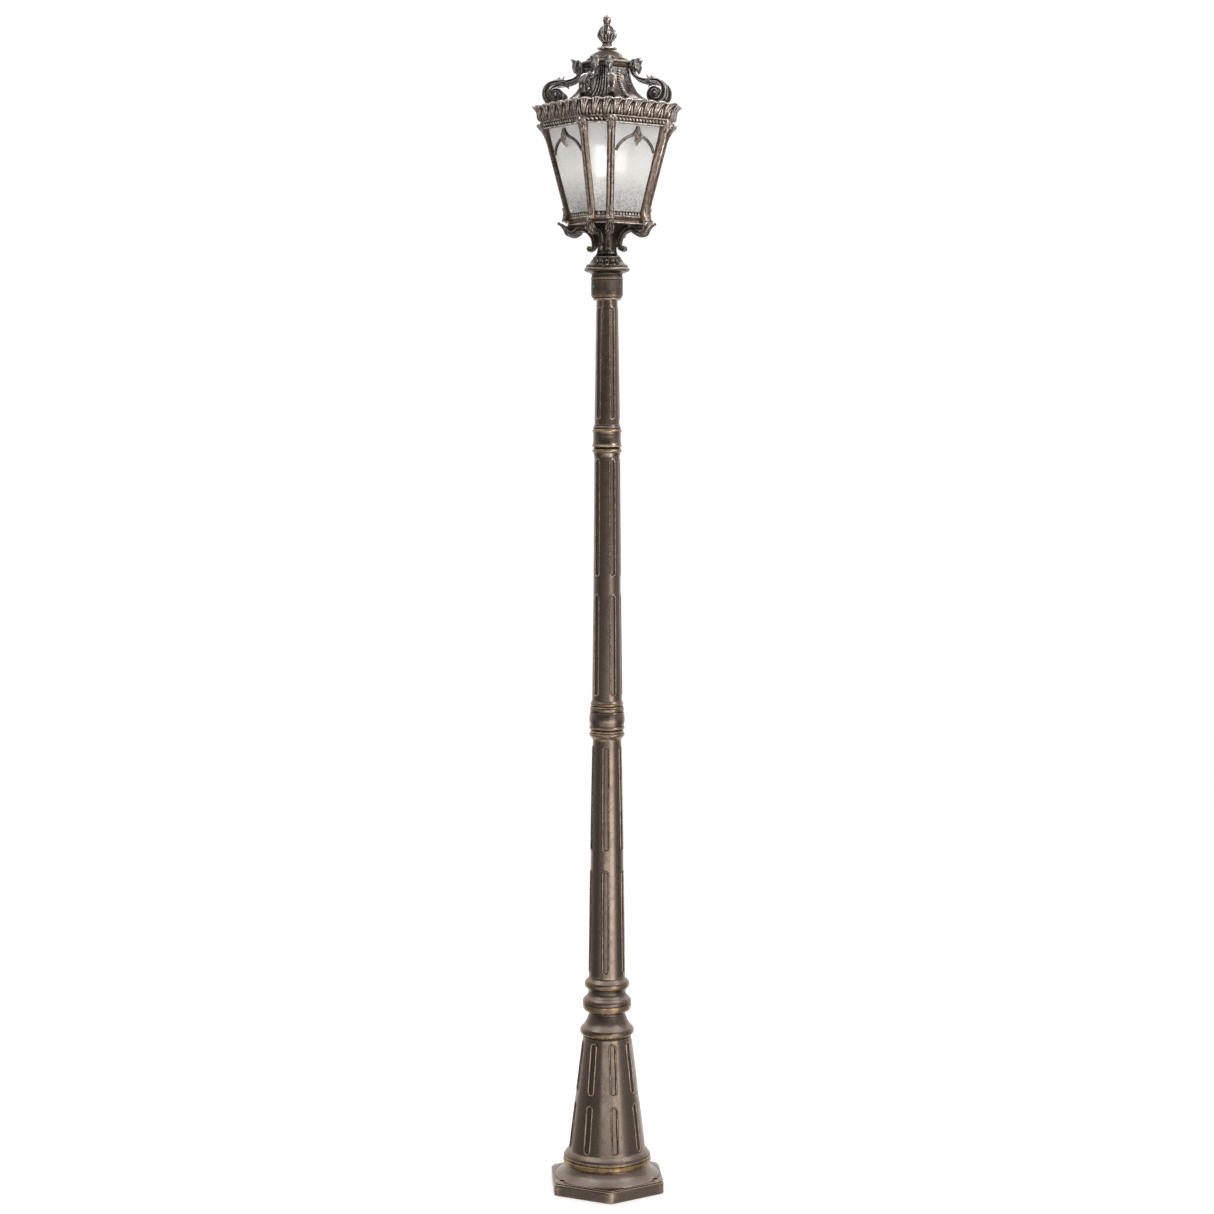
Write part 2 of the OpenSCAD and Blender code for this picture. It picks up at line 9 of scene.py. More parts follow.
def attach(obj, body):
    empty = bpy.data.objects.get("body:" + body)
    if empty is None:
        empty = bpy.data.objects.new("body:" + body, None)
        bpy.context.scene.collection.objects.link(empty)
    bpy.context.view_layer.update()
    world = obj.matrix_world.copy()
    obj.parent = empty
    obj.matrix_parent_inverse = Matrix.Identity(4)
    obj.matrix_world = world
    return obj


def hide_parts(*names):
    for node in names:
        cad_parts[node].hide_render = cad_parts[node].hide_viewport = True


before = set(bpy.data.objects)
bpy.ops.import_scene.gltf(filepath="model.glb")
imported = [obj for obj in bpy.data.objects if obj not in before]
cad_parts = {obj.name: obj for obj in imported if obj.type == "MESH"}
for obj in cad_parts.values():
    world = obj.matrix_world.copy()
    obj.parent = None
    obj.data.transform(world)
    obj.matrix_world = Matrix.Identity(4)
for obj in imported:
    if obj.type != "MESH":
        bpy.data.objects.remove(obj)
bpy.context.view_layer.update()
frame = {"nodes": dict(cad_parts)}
NODES = frame["nodes"]
rad = math.radians
pi = math.pi

# ---------------------------------------------------------------- camera, light, floor
scene = bpy.context.scene
cam_data = bpy.data.cameras.new("camera")
cam = bpy.data.objects.new("camera", cam_data)
scene.collection.objects.link(cam)
cam_data.sensor_width = 36.0
cam_data.lens = 2400.0 / 1214.0 * 36.0
cam_data.clip_start = 0.05
cam_data.clip_end = 100.0
cam.location = (0.0, -6.366, 2.038)
cam.rotation_euler = (rad(90.0 - 4.218), 0.0, 0.0)
scene.camera = cam


def area(name, loc, target, size_x, size_y, watts, color=(1, 1, 1), spread=180):
    data = bpy.data.lights.new(name, "AREA")
    data.shape = "RECTANGLE"
    data.size, data.size_y = size_x, size_y
    data.energy = watts
    data.color = color
    data.spread = rad(spread)
    ob = bpy.data.objects.new(name, data)
    scene.collection.objects.link(ob)
    ob.visible_camera = False
    ob.location = loc
    d = Vector(target) - Vector(loc)
    ob.rotation_euler = d.to_track_quat("-Z", "Y").to_euler()
    return ob


area("key_strip", (1.9, -2.7, 0.62), (0, 0, 0.5), 1.7, 1.5, 14, (1.0, 0.985, 0.965))
area("low_front", (-0.1, -3.3, 0.34), (0, 0, 0.25), 2.2, 0.62, 6.5, (1.0, 0.985, 0.965))
area("lantern_key", (2.3, -2.5, 3.1), (0, 0, 3.02), 1.0, 0.8, 0.85, (1.0, 0.99, 0.98), 20)
area("roof_glow", (3.0, -1.6, 4.6), (0, 0, 2.9), 1.8, 1.8, 5.2, (0.97, 0.985, 1.0), 40)
area("lantern_fill", (-2.6, -2.4, 3.3), (0, 0, 3.08), 0.8, 0.8, 0.35, (0.98, 0.99, 1.0), 20)
area("side_left", (-2.6, -0.9, 5.0), (0, 0, 1.2), 3.4, 3.4, 3.2, (1.0, 0.97, 0.92), 60)
area("side_right", (2.6, -0.9, 5.0), (0, 0, 1.2), 3.4, 3.4, 3.2, (1.0, 0.97, 0.92), 60)
area("back_top", (0.2, 2.4, 4.8), (0, 0, 2.4), 3.0, 1.6, 60)

world = bpy.data.worlds.new("studio")
scene.world = world
world.use_nodes = True
wt = world.node_tree
wt.nodes.clear()


def wnode(kind, **props):
    n = wt.nodes.new(kind)
    for k, v in props.items():
        setattr(n, k, v)
    return n


def wmath(op, a, b=0.0):
    n = wnode("ShaderNodeMath", operation=op)
    for s, v in zip(n.inputs, (a, b)):
        if hasattr(v, "links"):
            wt.links.new(v, s)
        else:
            s.default_value = v
    return n.outputs[0]


# a white studio: bright behind the lamp and overhead, dark cards to both sides, grey in front
w_sep = wnode("ShaderNodeSeparateXYZ")
wt.links.new(wnode("ShaderNodeTexCoord").outputs["Generated"], w_sep.inputs[0])
azim = wmath("ARCTAN2", w_sep.outputs["X"], wmath("MULTIPLY", w_sep.outputs["Y"], -1.0))
azim = wmath("ADD", wmath("MULTIPLY", azim, 1.0 / (2 * pi)), 0.5)


def azimuth_ramp(stops):
    n = wnode("ShaderNodeValToRGB")
    wt.links.new(azim, n.inputs[0])
    n.color_ramp.interpolation = "EASE"
    el = n.color_ramp.elements
    el[0].position, el[0].color = stops[0][0], (stops[0][1],) * 3 + (1,)
    el[1].position, el[1].color = stops[-1][0], (stops[-1][1],) * 3 + (1,)
    for at, v in stops[1:-1]:
        e = el.new(at)
        e.color = (v, v * 0.97, v * 0.93, 1)
    return n.outputs["Color"]


w_low = azimuth_ramp([(0.0, 1.0), (0.13, 0.9), (0.168, 0.25), (0.21, 0.11), (0.31, 0.10), (0.375, 0.42), (0.49, 0.52), (0.535, 0.85),
                      (0.57, 1.1), (0.635, 1.1), (0.67, 0.6), (0.70, 0.11), (0.80, 0.11), (0.832, 0.28), (0.87, 0.95), (1.0, 1.0)])
w_high = azimuth_ramp([(0.0, 1.0), (0.13, 0.9), (0.19, 0.42), (0.25, 0.25), (0.33, 0.08), (0.42, 0.06), (0.54, 0.08),
                       (0.58, 0.16), (0.655, 0.24), (0.70, 0.30), (0.76, 0.34), (0.83, 0.45), (0.875, 0.95), (1.0, 1.0)])
w_lift = wnode("ShaderNodeMapRange")
w_lift.interpolation_type = "SMOOTHSTEP"
wt.links.new(w_sep.outputs["Z"], w_lift.inputs["Value"])
w_lift.inputs["From Min"].default_value = -0.17
w_lift.inputs["From Max"].default_value = -0.05
w_side = wnode("ShaderNodeMix", data_type="RGBA")
wt.links.new(w_lift.outputs["Result"], w_side.inputs[0])
wt.links.new(w_low, w_side.inputs[6])
wt.links.new(w_high, w_side.inputs[7])
w_top = wnode("ShaderNodeMapRange")
w_top.interpolation_type = "SMOOTHSTEP"
wt.links.new(w_sep.outputs["Z"], w_top.inputs["Value"])
w_top.inputs["From Min"].default_value = 0.45
w_top.inputs["From Max"].default_value = 0.95
w_mix = wnode("ShaderNodeMix", data_type="RGBA")
wt.links.new(w_top.outputs["Result"], w_mix.inputs[0])
wt.links.new(w_side.outputs[2], w_mix.inputs[6])
w_mix.inputs[7].default_value = (0.85, 0.87, 0.9, 1)
w_bg = wnode("ShaderNodeBackground")
wt.links.new(w_mix.outputs[2], w_bg.inputs["Color"])
w_bg.inputs["Strength"].default_value = 1.0
w_white = wnode("ShaderNodeBackground")
w_white.inputs["Color"].default_value = (1, 1, 1, 1)
w_white.inputs["Strength"].default_value = 1.05
w_sw = wnode("ShaderNodeMixShader")
wt.links.new(wnode("ShaderNodeLightPath").outputs["Is Camera Ray"], w_sw.inputs[0])
wt.links.new(w_bg.outputs[0], w_sw.inputs[1])
wt.links.new(w_white.outputs[0], w_sw.inputs[2])
w_out = wnode("ShaderNodeOutputWorld")
wt.links.new(w_sw.outputs[0], w_out.inputs[0])

scene.view_settings.view_transform = "Standard"
scene.view_settings.look = "None"
scene.view_settings.exposure = 0.0
scene.view_settings.gamma = 1.0


# ---------------------------------------------------------------- node material helpers
class Mat:
    """Small builder for node materials."""

    def __init__(self, name):
        self.m = bpy.data.materials.new(name)
        self.m.use_nodes = True
        self.t = self.m.node_tree
        self.t.nodes.clear()
        self.out = self.t.nodes.new("ShaderNodeOutputMaterial")

    def node(self, kind, **props):
        n = self.t.nodes.new(kind)
        for k, v in props.items():
            setattr(n, k, v)
        return n

    def link(self, a, b):
        self.t.links.new(a, b)

    def put(self, sock, value):
        if hasattr(value, "is_output") or hasattr(value, "links"):
            self.link(value, sock)
        else:
            sock.default_value = value

    def pos(self):
        return self.node("ShaderNodeTexCoord").outputs["Object"]

    def noise(self, vec, scale, detail=4.0, rough=0.55, dist=0.0):
        n = self.node("ShaderNodeTexNoise")
        self.link(vec, n.inputs["Vector"])
        n.inputs["Scale"].default_value = scale
        n.inputs["Detail"].default_value = detail
        n.inputs["Roughness"].default_value = rough
        n.inputs["Distortion"].default_value = dist
        return n.outputs["Fac"]

    def math(self, op, a, b=0.0, clamp=False):
        n = self.node("ShaderNodeMath", operation=op)
        n.use_clamp = clamp
        self.put(n.inputs[0], a)
        self.put(n.inputs[1], b)
        return n.outputs[0]

    def ramp(self, fac, lo, hi, a=0.0, b=1.0):
        n = self.node("ShaderNodeMapRange")
        n.interpolation_type = "SMOOTHSTEP"
        self.put(n.inputs["Value"], fac)
        n.inputs["From Min"].default_value = lo
        n.inputs["From Max"].default_value = hi
        n.inputs["To Min"].default_value = a
        n.inputs["To Max"].default_value = b
        return n.outputs["Result"]

    def mix(self, fac, a, b, kind="MIX"):
        n = self.node("ShaderNodeMix", data_type="RGBA", blend_type=kind)
        self.put(n.inputs[0], fac)
        self.put(n.inputs[6], a)
        self.put(n.inputs[7], b)
        return n.outputs[2]

    def bump(self, height, strength, dist, normal=None):
        n = self.node("ShaderNodeBump")
        n.inputs["Strength"].default_value = strength
        n.inputs["Distance"].default_value = dist
        self.link(height, n.inputs["Height"])
        if normal is not None:
            self.link(normal, n.inputs["Normal"])
        return n.outputs[0]

    def masks(self):
        # red channel: gilding; green channel: dirt together with painted shade in hollows; blue channel: rubbed wear
        # together with painted highlight on edges and ridges
        a = self.node("ShaderNodeAttribute", attribute_name="mask")
        s = self.node("ShaderNodeSeparateColor")
        self.link(a.outputs["Color"], s.inputs[0])
        return s.outputs[0], s.outputs[1], s.outputs[2]

    def principled(self, **vals):
        p = self.node("ShaderNodeBsdfPrincipled")
        for k, v in vals.items():
            self.put(p.inputs[k.replace("_", " ")], v)
        self.link(p.outputs[0], self.out.inputs["Surface"])
        return p


def rgb(r, g, b):
    """sRGB 0-255 to a linear colour."""
    f = lambda c: (c / 255 / 12.92) if c <= 10 else ((c / 255 + 0.055) / 1.055) ** 2.4
    return (f(r), f(g), f(b), 1.0)


def paint_material(name, base, dark, light, gold, gold_dark, metallic, rough, grain, blotch, edge=None, wear_and_highlight_k=1.0,
                   dirt_and_shade_k=0.85, streak=0.0):
    """Antiqued metal paint: base tone with soft blotches, recesses darkened as dirt and painted shade, edges lightened
    as rubbed wear and painted highlight, and gilding by mask.
    """
    m = Mat(name)
    p = m.pos()
    big = m.noise(p, 6.0, 3.0, 0.55)
    mid = m.noise(p, 46.0, 5.0, 0.6, 0.4)
    fine = m.noise(p, 420.0, 4.0, 0.6)
    st = m.node("ShaderNodeMapping")
    m.link(p, st.inputs["Vector"])
    st.inputs["Scale"].default_value = (1.0, 1.0, 0.05)
    lines = m.noise(st.outputs[0], 260.0, 3.0, 0.6)
    col = m.mix(m.ramp(mid, 0.42, 0.75, 0.0, blotch), base, dark)
    col = m.mix(m.ramp(big, 0.42, 0.70, 0.0, blotch * 0.7), col, light)
    col = m.mix(m.ramp(fine, 0.5, 0.85, 0.0, blotch * 0.5), col, light)
    rgh = m.math("ADD", m.ramp(mid, 0.3, 0.75, rough - 0.04, rough + 0.08), m.ramp(fine, 0.3, 0.7, -0.02, 0.03))
    if streak:
        col = m.mix(m.ramp(lines, 0.5, 0.8, 0.0, streak), col, light)
        col = m.mix(m.ramp(lines, 0.2, 0.45, streak, 0.0), col, dark)
    gilt, dirt_and_shade_mask, wear_and_highlight = m.masks()
    patch = m.ramp(m.noise(p, 60.0, 5.0, 0.65, 0.6), 0.25, 0.60, 0.55, 1.0)
    g = m.math("MULTIPLY", gilt, patch, True)
    col = m.mix(g, col, m.mix(m.ramp(mid, 0.35, 0.65), gold, gold_dark))
    # blue mask: edges and ridges lightened to the pale edge colour, rubbed wear together with painted highlight
    w = m.math("MULTIPLY", wear_and_highlight, m.ramp(m.noise(p, 120.0, 4.0, 0.6, 0.5), 0.34, 0.64, 0.15 * wear_and_highlight_k, wear_and_highlight_k), True)
    col = m.mix(w, col, edge if edge is not None else light)
    # green mask: hollows darkened to the dark colour, dirt together with painted shade
    col = m.mix(m.math("MULTIPLY", dirt_and_shade_mask, dirt_and_shade_k, True), col, dark)
    rgh = m.math("ADD", rgh, m.math("MULTIPLY", dirt_and_shade_mask, 0.25))
    rgh = m.math("SUBTRACT", rgh, m.math("MULTIPLY", w, 0.08), True)
    h = m.math("ADD", m.math("MULTIPLY", fine, 0.5), m.math("MULTIPLY", mid, 0.5))
    nrm = m.bump(h, grain, 0.0006)
    nrm = m.bump(m.noise(p, 24.0, 2.0, 0.5), grain * 0.6, 0.0012, nrm)
    # pale edges lose their metal look so they stay light whatever they reflect: a painted highlight
    met = m.math("SUBTRACT", metallic, m.math("ADD", m.math("MULTIPLY", w, 0.72), m.math("MULTIPLY", g, 0.15)), True)
    m.principled(Base_Color=col, Metallic=met, Roughness=rgh, Normal=nrm)
    return m.m


post_mat = paint_material("post_bronze_paint", rgb(146, 130, 119), rgb(58, 45, 34), rgb(166, 152, 141),
                          rgb(200, 172, 132), rgb(152, 122, 84), 0.94, 0.26, 0.10, 0.16, edge=rgb(226, 206, 178), wear_and_highlight_k=0.75,
                          streak=0.16)
gilt_mat = paint_material("gilded_moulding", rgb(146, 130, 119), rgb(62, 46, 30), rgb(168, 152, 140),
                          rgb(206, 168, 114), rgb(152, 114, 66), 0.94, 0.26, 0.10, 0.2, edge=rgb(232, 210, 176), wear_and_highlight_k=0.6)
lant_mat = paint_material("lantern_antique_bronze", rgb(128, 106, 90), rgb(20, 15, 12), rgb(166, 148, 134),
                          rgb(180, 128, 94), rgb(126, 86, 60), 0.93, 0.22, 0.18, 0.28, edge=rgb(240, 232, 224), wear_and_highlight_k=1.15,
                          dirt_and_shade_k=1.0, streak=0.3)
# the roof takes a greyer, paler copy of the lantern paint, a painted sheen of the bright light it faces
roof_mat = paint_material("roof_bronze_painted_sheen", rgb(118, 108, 101), rgb(20, 16, 13), rgb(160, 152, 146),
                          rgb(176, 130, 98), rgb(122, 88, 64), 0.93, 0.24, 0.18, 0.40, edge=rgb(240, 238, 236), wear_and_highlight_k=1.3,
                          dirt_and_shade_k=1.0, streak=0.2)
fitter_mat = paint_material("fitter_mottled_bronze", rgb(86, 74, 65), rgb(38, 30, 25), rgb(132, 118, 106),
                            rgb(172, 140, 104), rgb(118, 88, 58), 0.55, 0.46, 0.6, 0.85, edge=rgb(176, 160, 142), wear_and_highlight_k=0.8)
cap_mat = paint_material("cap_dark_bronze", rgb(92, 82, 72), rgb(24, 19, 15), rgb(118, 104, 92),
                         rgb(170, 130, 100), rgb(118, 88, 66), 0.9, 0.30, 0.25, 0.5, edge=rgb(206, 196, 184), wear_and_highlight_k=0.9)
finial_mat = paint_material("finial_silvered_bronze", rgb(158, 147, 138), rgb(30, 24, 20), rgb(205, 199, 193),
                            rgb(200, 160, 118), rgb(150, 116, 84), 0.95, 0.20, 0.18, 0.4, edge=rgb(246, 243, 240), wear_and_highlight_k=1.2, dirt_and_shade_k=1.0)


def steel_material(name, base, rough):
    m = Mat(name)
    p = m.pos()
    stretch = m.node("ShaderNodeMapping")
    m.link(p, stretch.inputs["Vector"])
    stretch.inputs["Scale"].default_value = (1.0, 1.0, 40.0)
    lines = m.noise(stretch.outputs[0], 30.0, 3.0, 0.6)
    blot = m.noise(p, 38.0, 4.0, 0.6)
    col = m.mix(m.ramp(blot, 0.35, 0.7), base, rgb(120, 118, 114))
    m.principled(Base_Color=col, Metallic=1.0, Roughness=m.ramp(lines, 0.3, 0.7, rough - 0.08, rough + 0.1),
                 Normal=m.bump(lines, 0.12, 0.0004))
    return m.m


steel_mat = steel_material("machined_steel", rgb(176, 176, 178), 0.32)


def rubber_material():
    m = Mat("seal_rubber")
    p = m.pos()
    n = m.noise(p, 300.0, 4.0, 0.6)
    m.principled(Base_Color=m.mix(m.ramp(n, 0.4, 0.7), rgb(26, 26, 27), rgb(44, 43, 42)), Roughness=m.ramp(n, 0.2, 0.8, 0.6, 0.8),
                 Normal=m.bump(n, 0.2, 0.0003))
    return m.m


seal_mat = rubber_material()


def plastic_material(name, a, b, rough, sss=0.0):
    m = Mat(name)
    p = m.pos()
    n = m.noise(p, 60.0, 4.0, 0.55)
    f = m.noise(p, 900.0, 2.0, 0.5)
    m.principled(Base_Color=m.mix(m.ramp(n, 0.35, 0.7), a, b), Roughness=m.ramp(n, 0.3, 0.7, rough - 0.05, rough + 0.08),
                 Subsurface_Weight=sss, Normal=m.bump(f, 0.08, 0.0002))
    return m.m


candle_mat = plastic_material("ivory_candle", rgb(228, 220, 198), rgb(212, 202, 176), 0.38, 0.15)
holder_mat = plastic_material("white_lampholder", rgb(232, 230, 224), rgb(216, 213, 205), 0.30)


def bulb_material():
    m = Mat("lit_lamp_glass")
    p = m.pos()
    n = m.noise(p, 50.0, 2.0, 0.5)
    col = m.mix(m.ramp(n, 0.3, 0.7), rgb(255, 246, 226), rgb(255, 240, 210))
    m.principled(Base_Color=col, Roughness=0.25, Emission_Color=(1.0, 0.97, 0.92, 1),
                 Emission_Strength=3.6)
    return m.m


bulb_mat = bulb_material()


def glass_material():
    """Seeded lantern glass: pale, a little milky, with small bubbles and a wavy face."""
    m = Mat("seeded_glass")
    p = m.pos()
    wav = m.noise(p, 26.0, 3.0, 0.55, 0.6)
    vor = m.node("ShaderNodeTexVoronoi", feature="F1")
    m.link(p, vor.inputs["Vector"])
    vor.inputs["Scale"].default_value = 150.0
    vor.inputs["Randomness"].default_value = 1.0
    seeds = m.ramp(vor.outputs["Distance"], 0.10, 0.26, 1.0, 0.0)
    fine = m.noise(p, 260.0, 4.0, 0.65, 0.3)
    h = m.math("ADD", m.math("MULTIPLY", wav, 1.2), m.math("ADD", m.math("MULTIPLY", seeds, 0.55), m.math("MULTIPLY", fine, 0.35)))
    nrm = m.bump(h, 0.55, 0.0016)
    clear = m.node("ShaderNodeBsdfPrincipled")
    clear.inputs["Base Color"].default_value = (0.97, 0.97, 0.965, 1)
    clear.inputs["Transmission Weight"].default_value = 1.0
    clear.inputs["Roughness"].default_value = 0.30
    clear.inputs["IOR"].default_value = 1.18
    m.link(nrm, clear.inputs["Normal"])
    milk = m.node("ShaderNodeBsdfTranslucent")
    high = m.node("ShaderNodeSeparateXYZ")
    m.link(m.node("ShaderNodeNewGeometry").outputs["Position"], high.inputs[0])
    # darker mottled smudges, strongest towards the bottom of the panes, in the milky layer and in the surface colour
    low = m.ramp(high.outputs["Z"], 2.61, 2.71, 0.9, 0.10)
    lower_dark_smudge = m.math("MULTIPLY", m.ramp(m.noise(p, 105.0, 2.5, 0.6, 1.6), 0.47, 0.57), low, True)
    m.put(milk.inputs["Color"], m.mix(lower_dark_smudge, (0.80, 0.80, 0.80, 1), (0.42, 0.42, 0.415, 1)))
    m.link(nrm, milk.inputs["Normal"])
    skin = m.node("ShaderNodeBsdfPrincipled")
    m.put(skin.inputs["Base Color"], m.mix(lower_dark_smudge, m.mix(m.ramp(fine, 0.3, 0.7), rgb(222, 222, 221), rgb(196, 196, 195)), rgb(142, 142, 140)))
    skin.inputs["Roughness"].default_value = 0.22
    m.link(nrm, skin.inputs["Normal"])
    s1 = m.node("ShaderNodeMixShader")
    s1.inputs[0].default_value = 0.45
    m.link(milk.outputs[0], s1.inputs[1])
    m.link(skin.outputs[0], s1.inputs[2])
    s2 = m.node("ShaderNodeMixShader")
    m.link(m.ramp(fine, 0.25, 0.75, 0.72, 0.84), s2.inputs[0])
    m.link(clear.outputs[0], s2.inputs[1])
    m.link(s1.outputs[0], s2.inputs[2])
    m.link(s2.outputs[0], m.out.inputs["Surface"])
    return m.m


glass_mat = glass_material()


def floor_material():
    m = Mat("studio_floor")
    p = m.pos()
    n = m.noise(p, 3.0, 4.0, 0.5)
    m.principled(Base_Color=m.mix(m.ramp(n, 0.3, 0.7), rgb(206, 206, 205), rgb(202, 202, 201)), Roughness=0.85,
                 Specular_IOR_Level=0.05, Emission_Color=(1, 0.995, 0.99, 1), Emission_Strength=0.62)
    return m.m


bm = bmesh.new()
bmesh.ops.create_circle(bm, cap_ends=True, segments=96, radius=14.0)
fm = bpy.data.meshes.new("floor")
bm.to_mesh(fm)
bm.free()
floor = bpy.data.objects.new("floor", fm)
scene.collection.objects.link(floor)
floor.location = (0, 0, -0.0005)
floor.data.materials.append(floor_material())
floor.visible_glossy = False
inner = bpy.data.lights.new("lamp_glow", "POINT")
inner.energy = 1.7
inner.color = (0.99, 0.995, 1.0)
inner.shadow_soft_size = 0.04
glow = bpy.data.objects.new("lamp_glow", inner)
scene.collection.objects.link(glow)
glow.location = (0, 0, 2.742)


# ---------------------------------------------------------------- mesh kit (millimetres in, metres out)
def spline(pts, step=1.0, closed=False):
    """Centripetal Catmull-Rom curve through pts, sampled about every `step`."""
    p = np.asarray(pts, float)
    if closed:
        q = np.vstack([p[-1], p, p[0], p[1]])
    else:
        q = np.vstack([2 * p[0] - p[1], p, 2 * p[-1] - p[-2]])
    out = []
    for i in range(len(q) - 3):
        a, b, c, d = q[i:i + 4]
        t0 = 0.0
        t1 = t0 + max(np.linalg.norm(b - a), 1e-6) ** 0.5
        t2 = t1 + max(np.linalg.norm(c - b), 1e-6) ** 0.5
        t3 = t2 + max(np.linalg.norm(d - c), 1e-6) ** 0.5
        k = max(1, int(math.ceil(np.linalg.norm(c - b) / step)))
        for j in range(k):
            t = t1 + (t2 - t1) * j / k
            a1 = (t1 - t) / (t1 - t0) * a + (t - t0) / (t1 - t0) * b
            a2 = (t2 - t) / (t2 - t1) * b + (t - t1) / (t2 - t1) * c
            a3 = (t3 - t) / (t3 - t2) * c + (t - t2) / (t3 - t2) * d
            b1 = (t2 - t) / (t2 - t0) * a1 + (t - t0) / (t2 - t0) * a2
            b2 = (t3 - t) / (t3 - t1) * a2 + (t - t1) / (t3 - t1) * a3
            out.append((t2 - t) / (t2 - t1) * b1 + (t - t1) / (t2 - t1) * b2)
    if not closed:
        out.append(p[-1])
    return np.array(out)


def resample(pts, n):
    p = np.asarray(pts, float)
    s = np.concatenate([[0], np.cumsum(np.linalg.norm(np.diff(p, axis=0), axis=1))])
    t = np.linspace(0, s[-1], n)
    return np.stack([np.interp(t, s, p[:, k]) for k in range(p.shape[1])], 1)


def sstep(x, lo, hi):
    t = np.clip((x - lo) / (hi - lo), 0, 1)
    return t * t * (3 - 2 * t)


def bell(x, c, w):
    return np.exp(-((x - c) / w) ** 2)


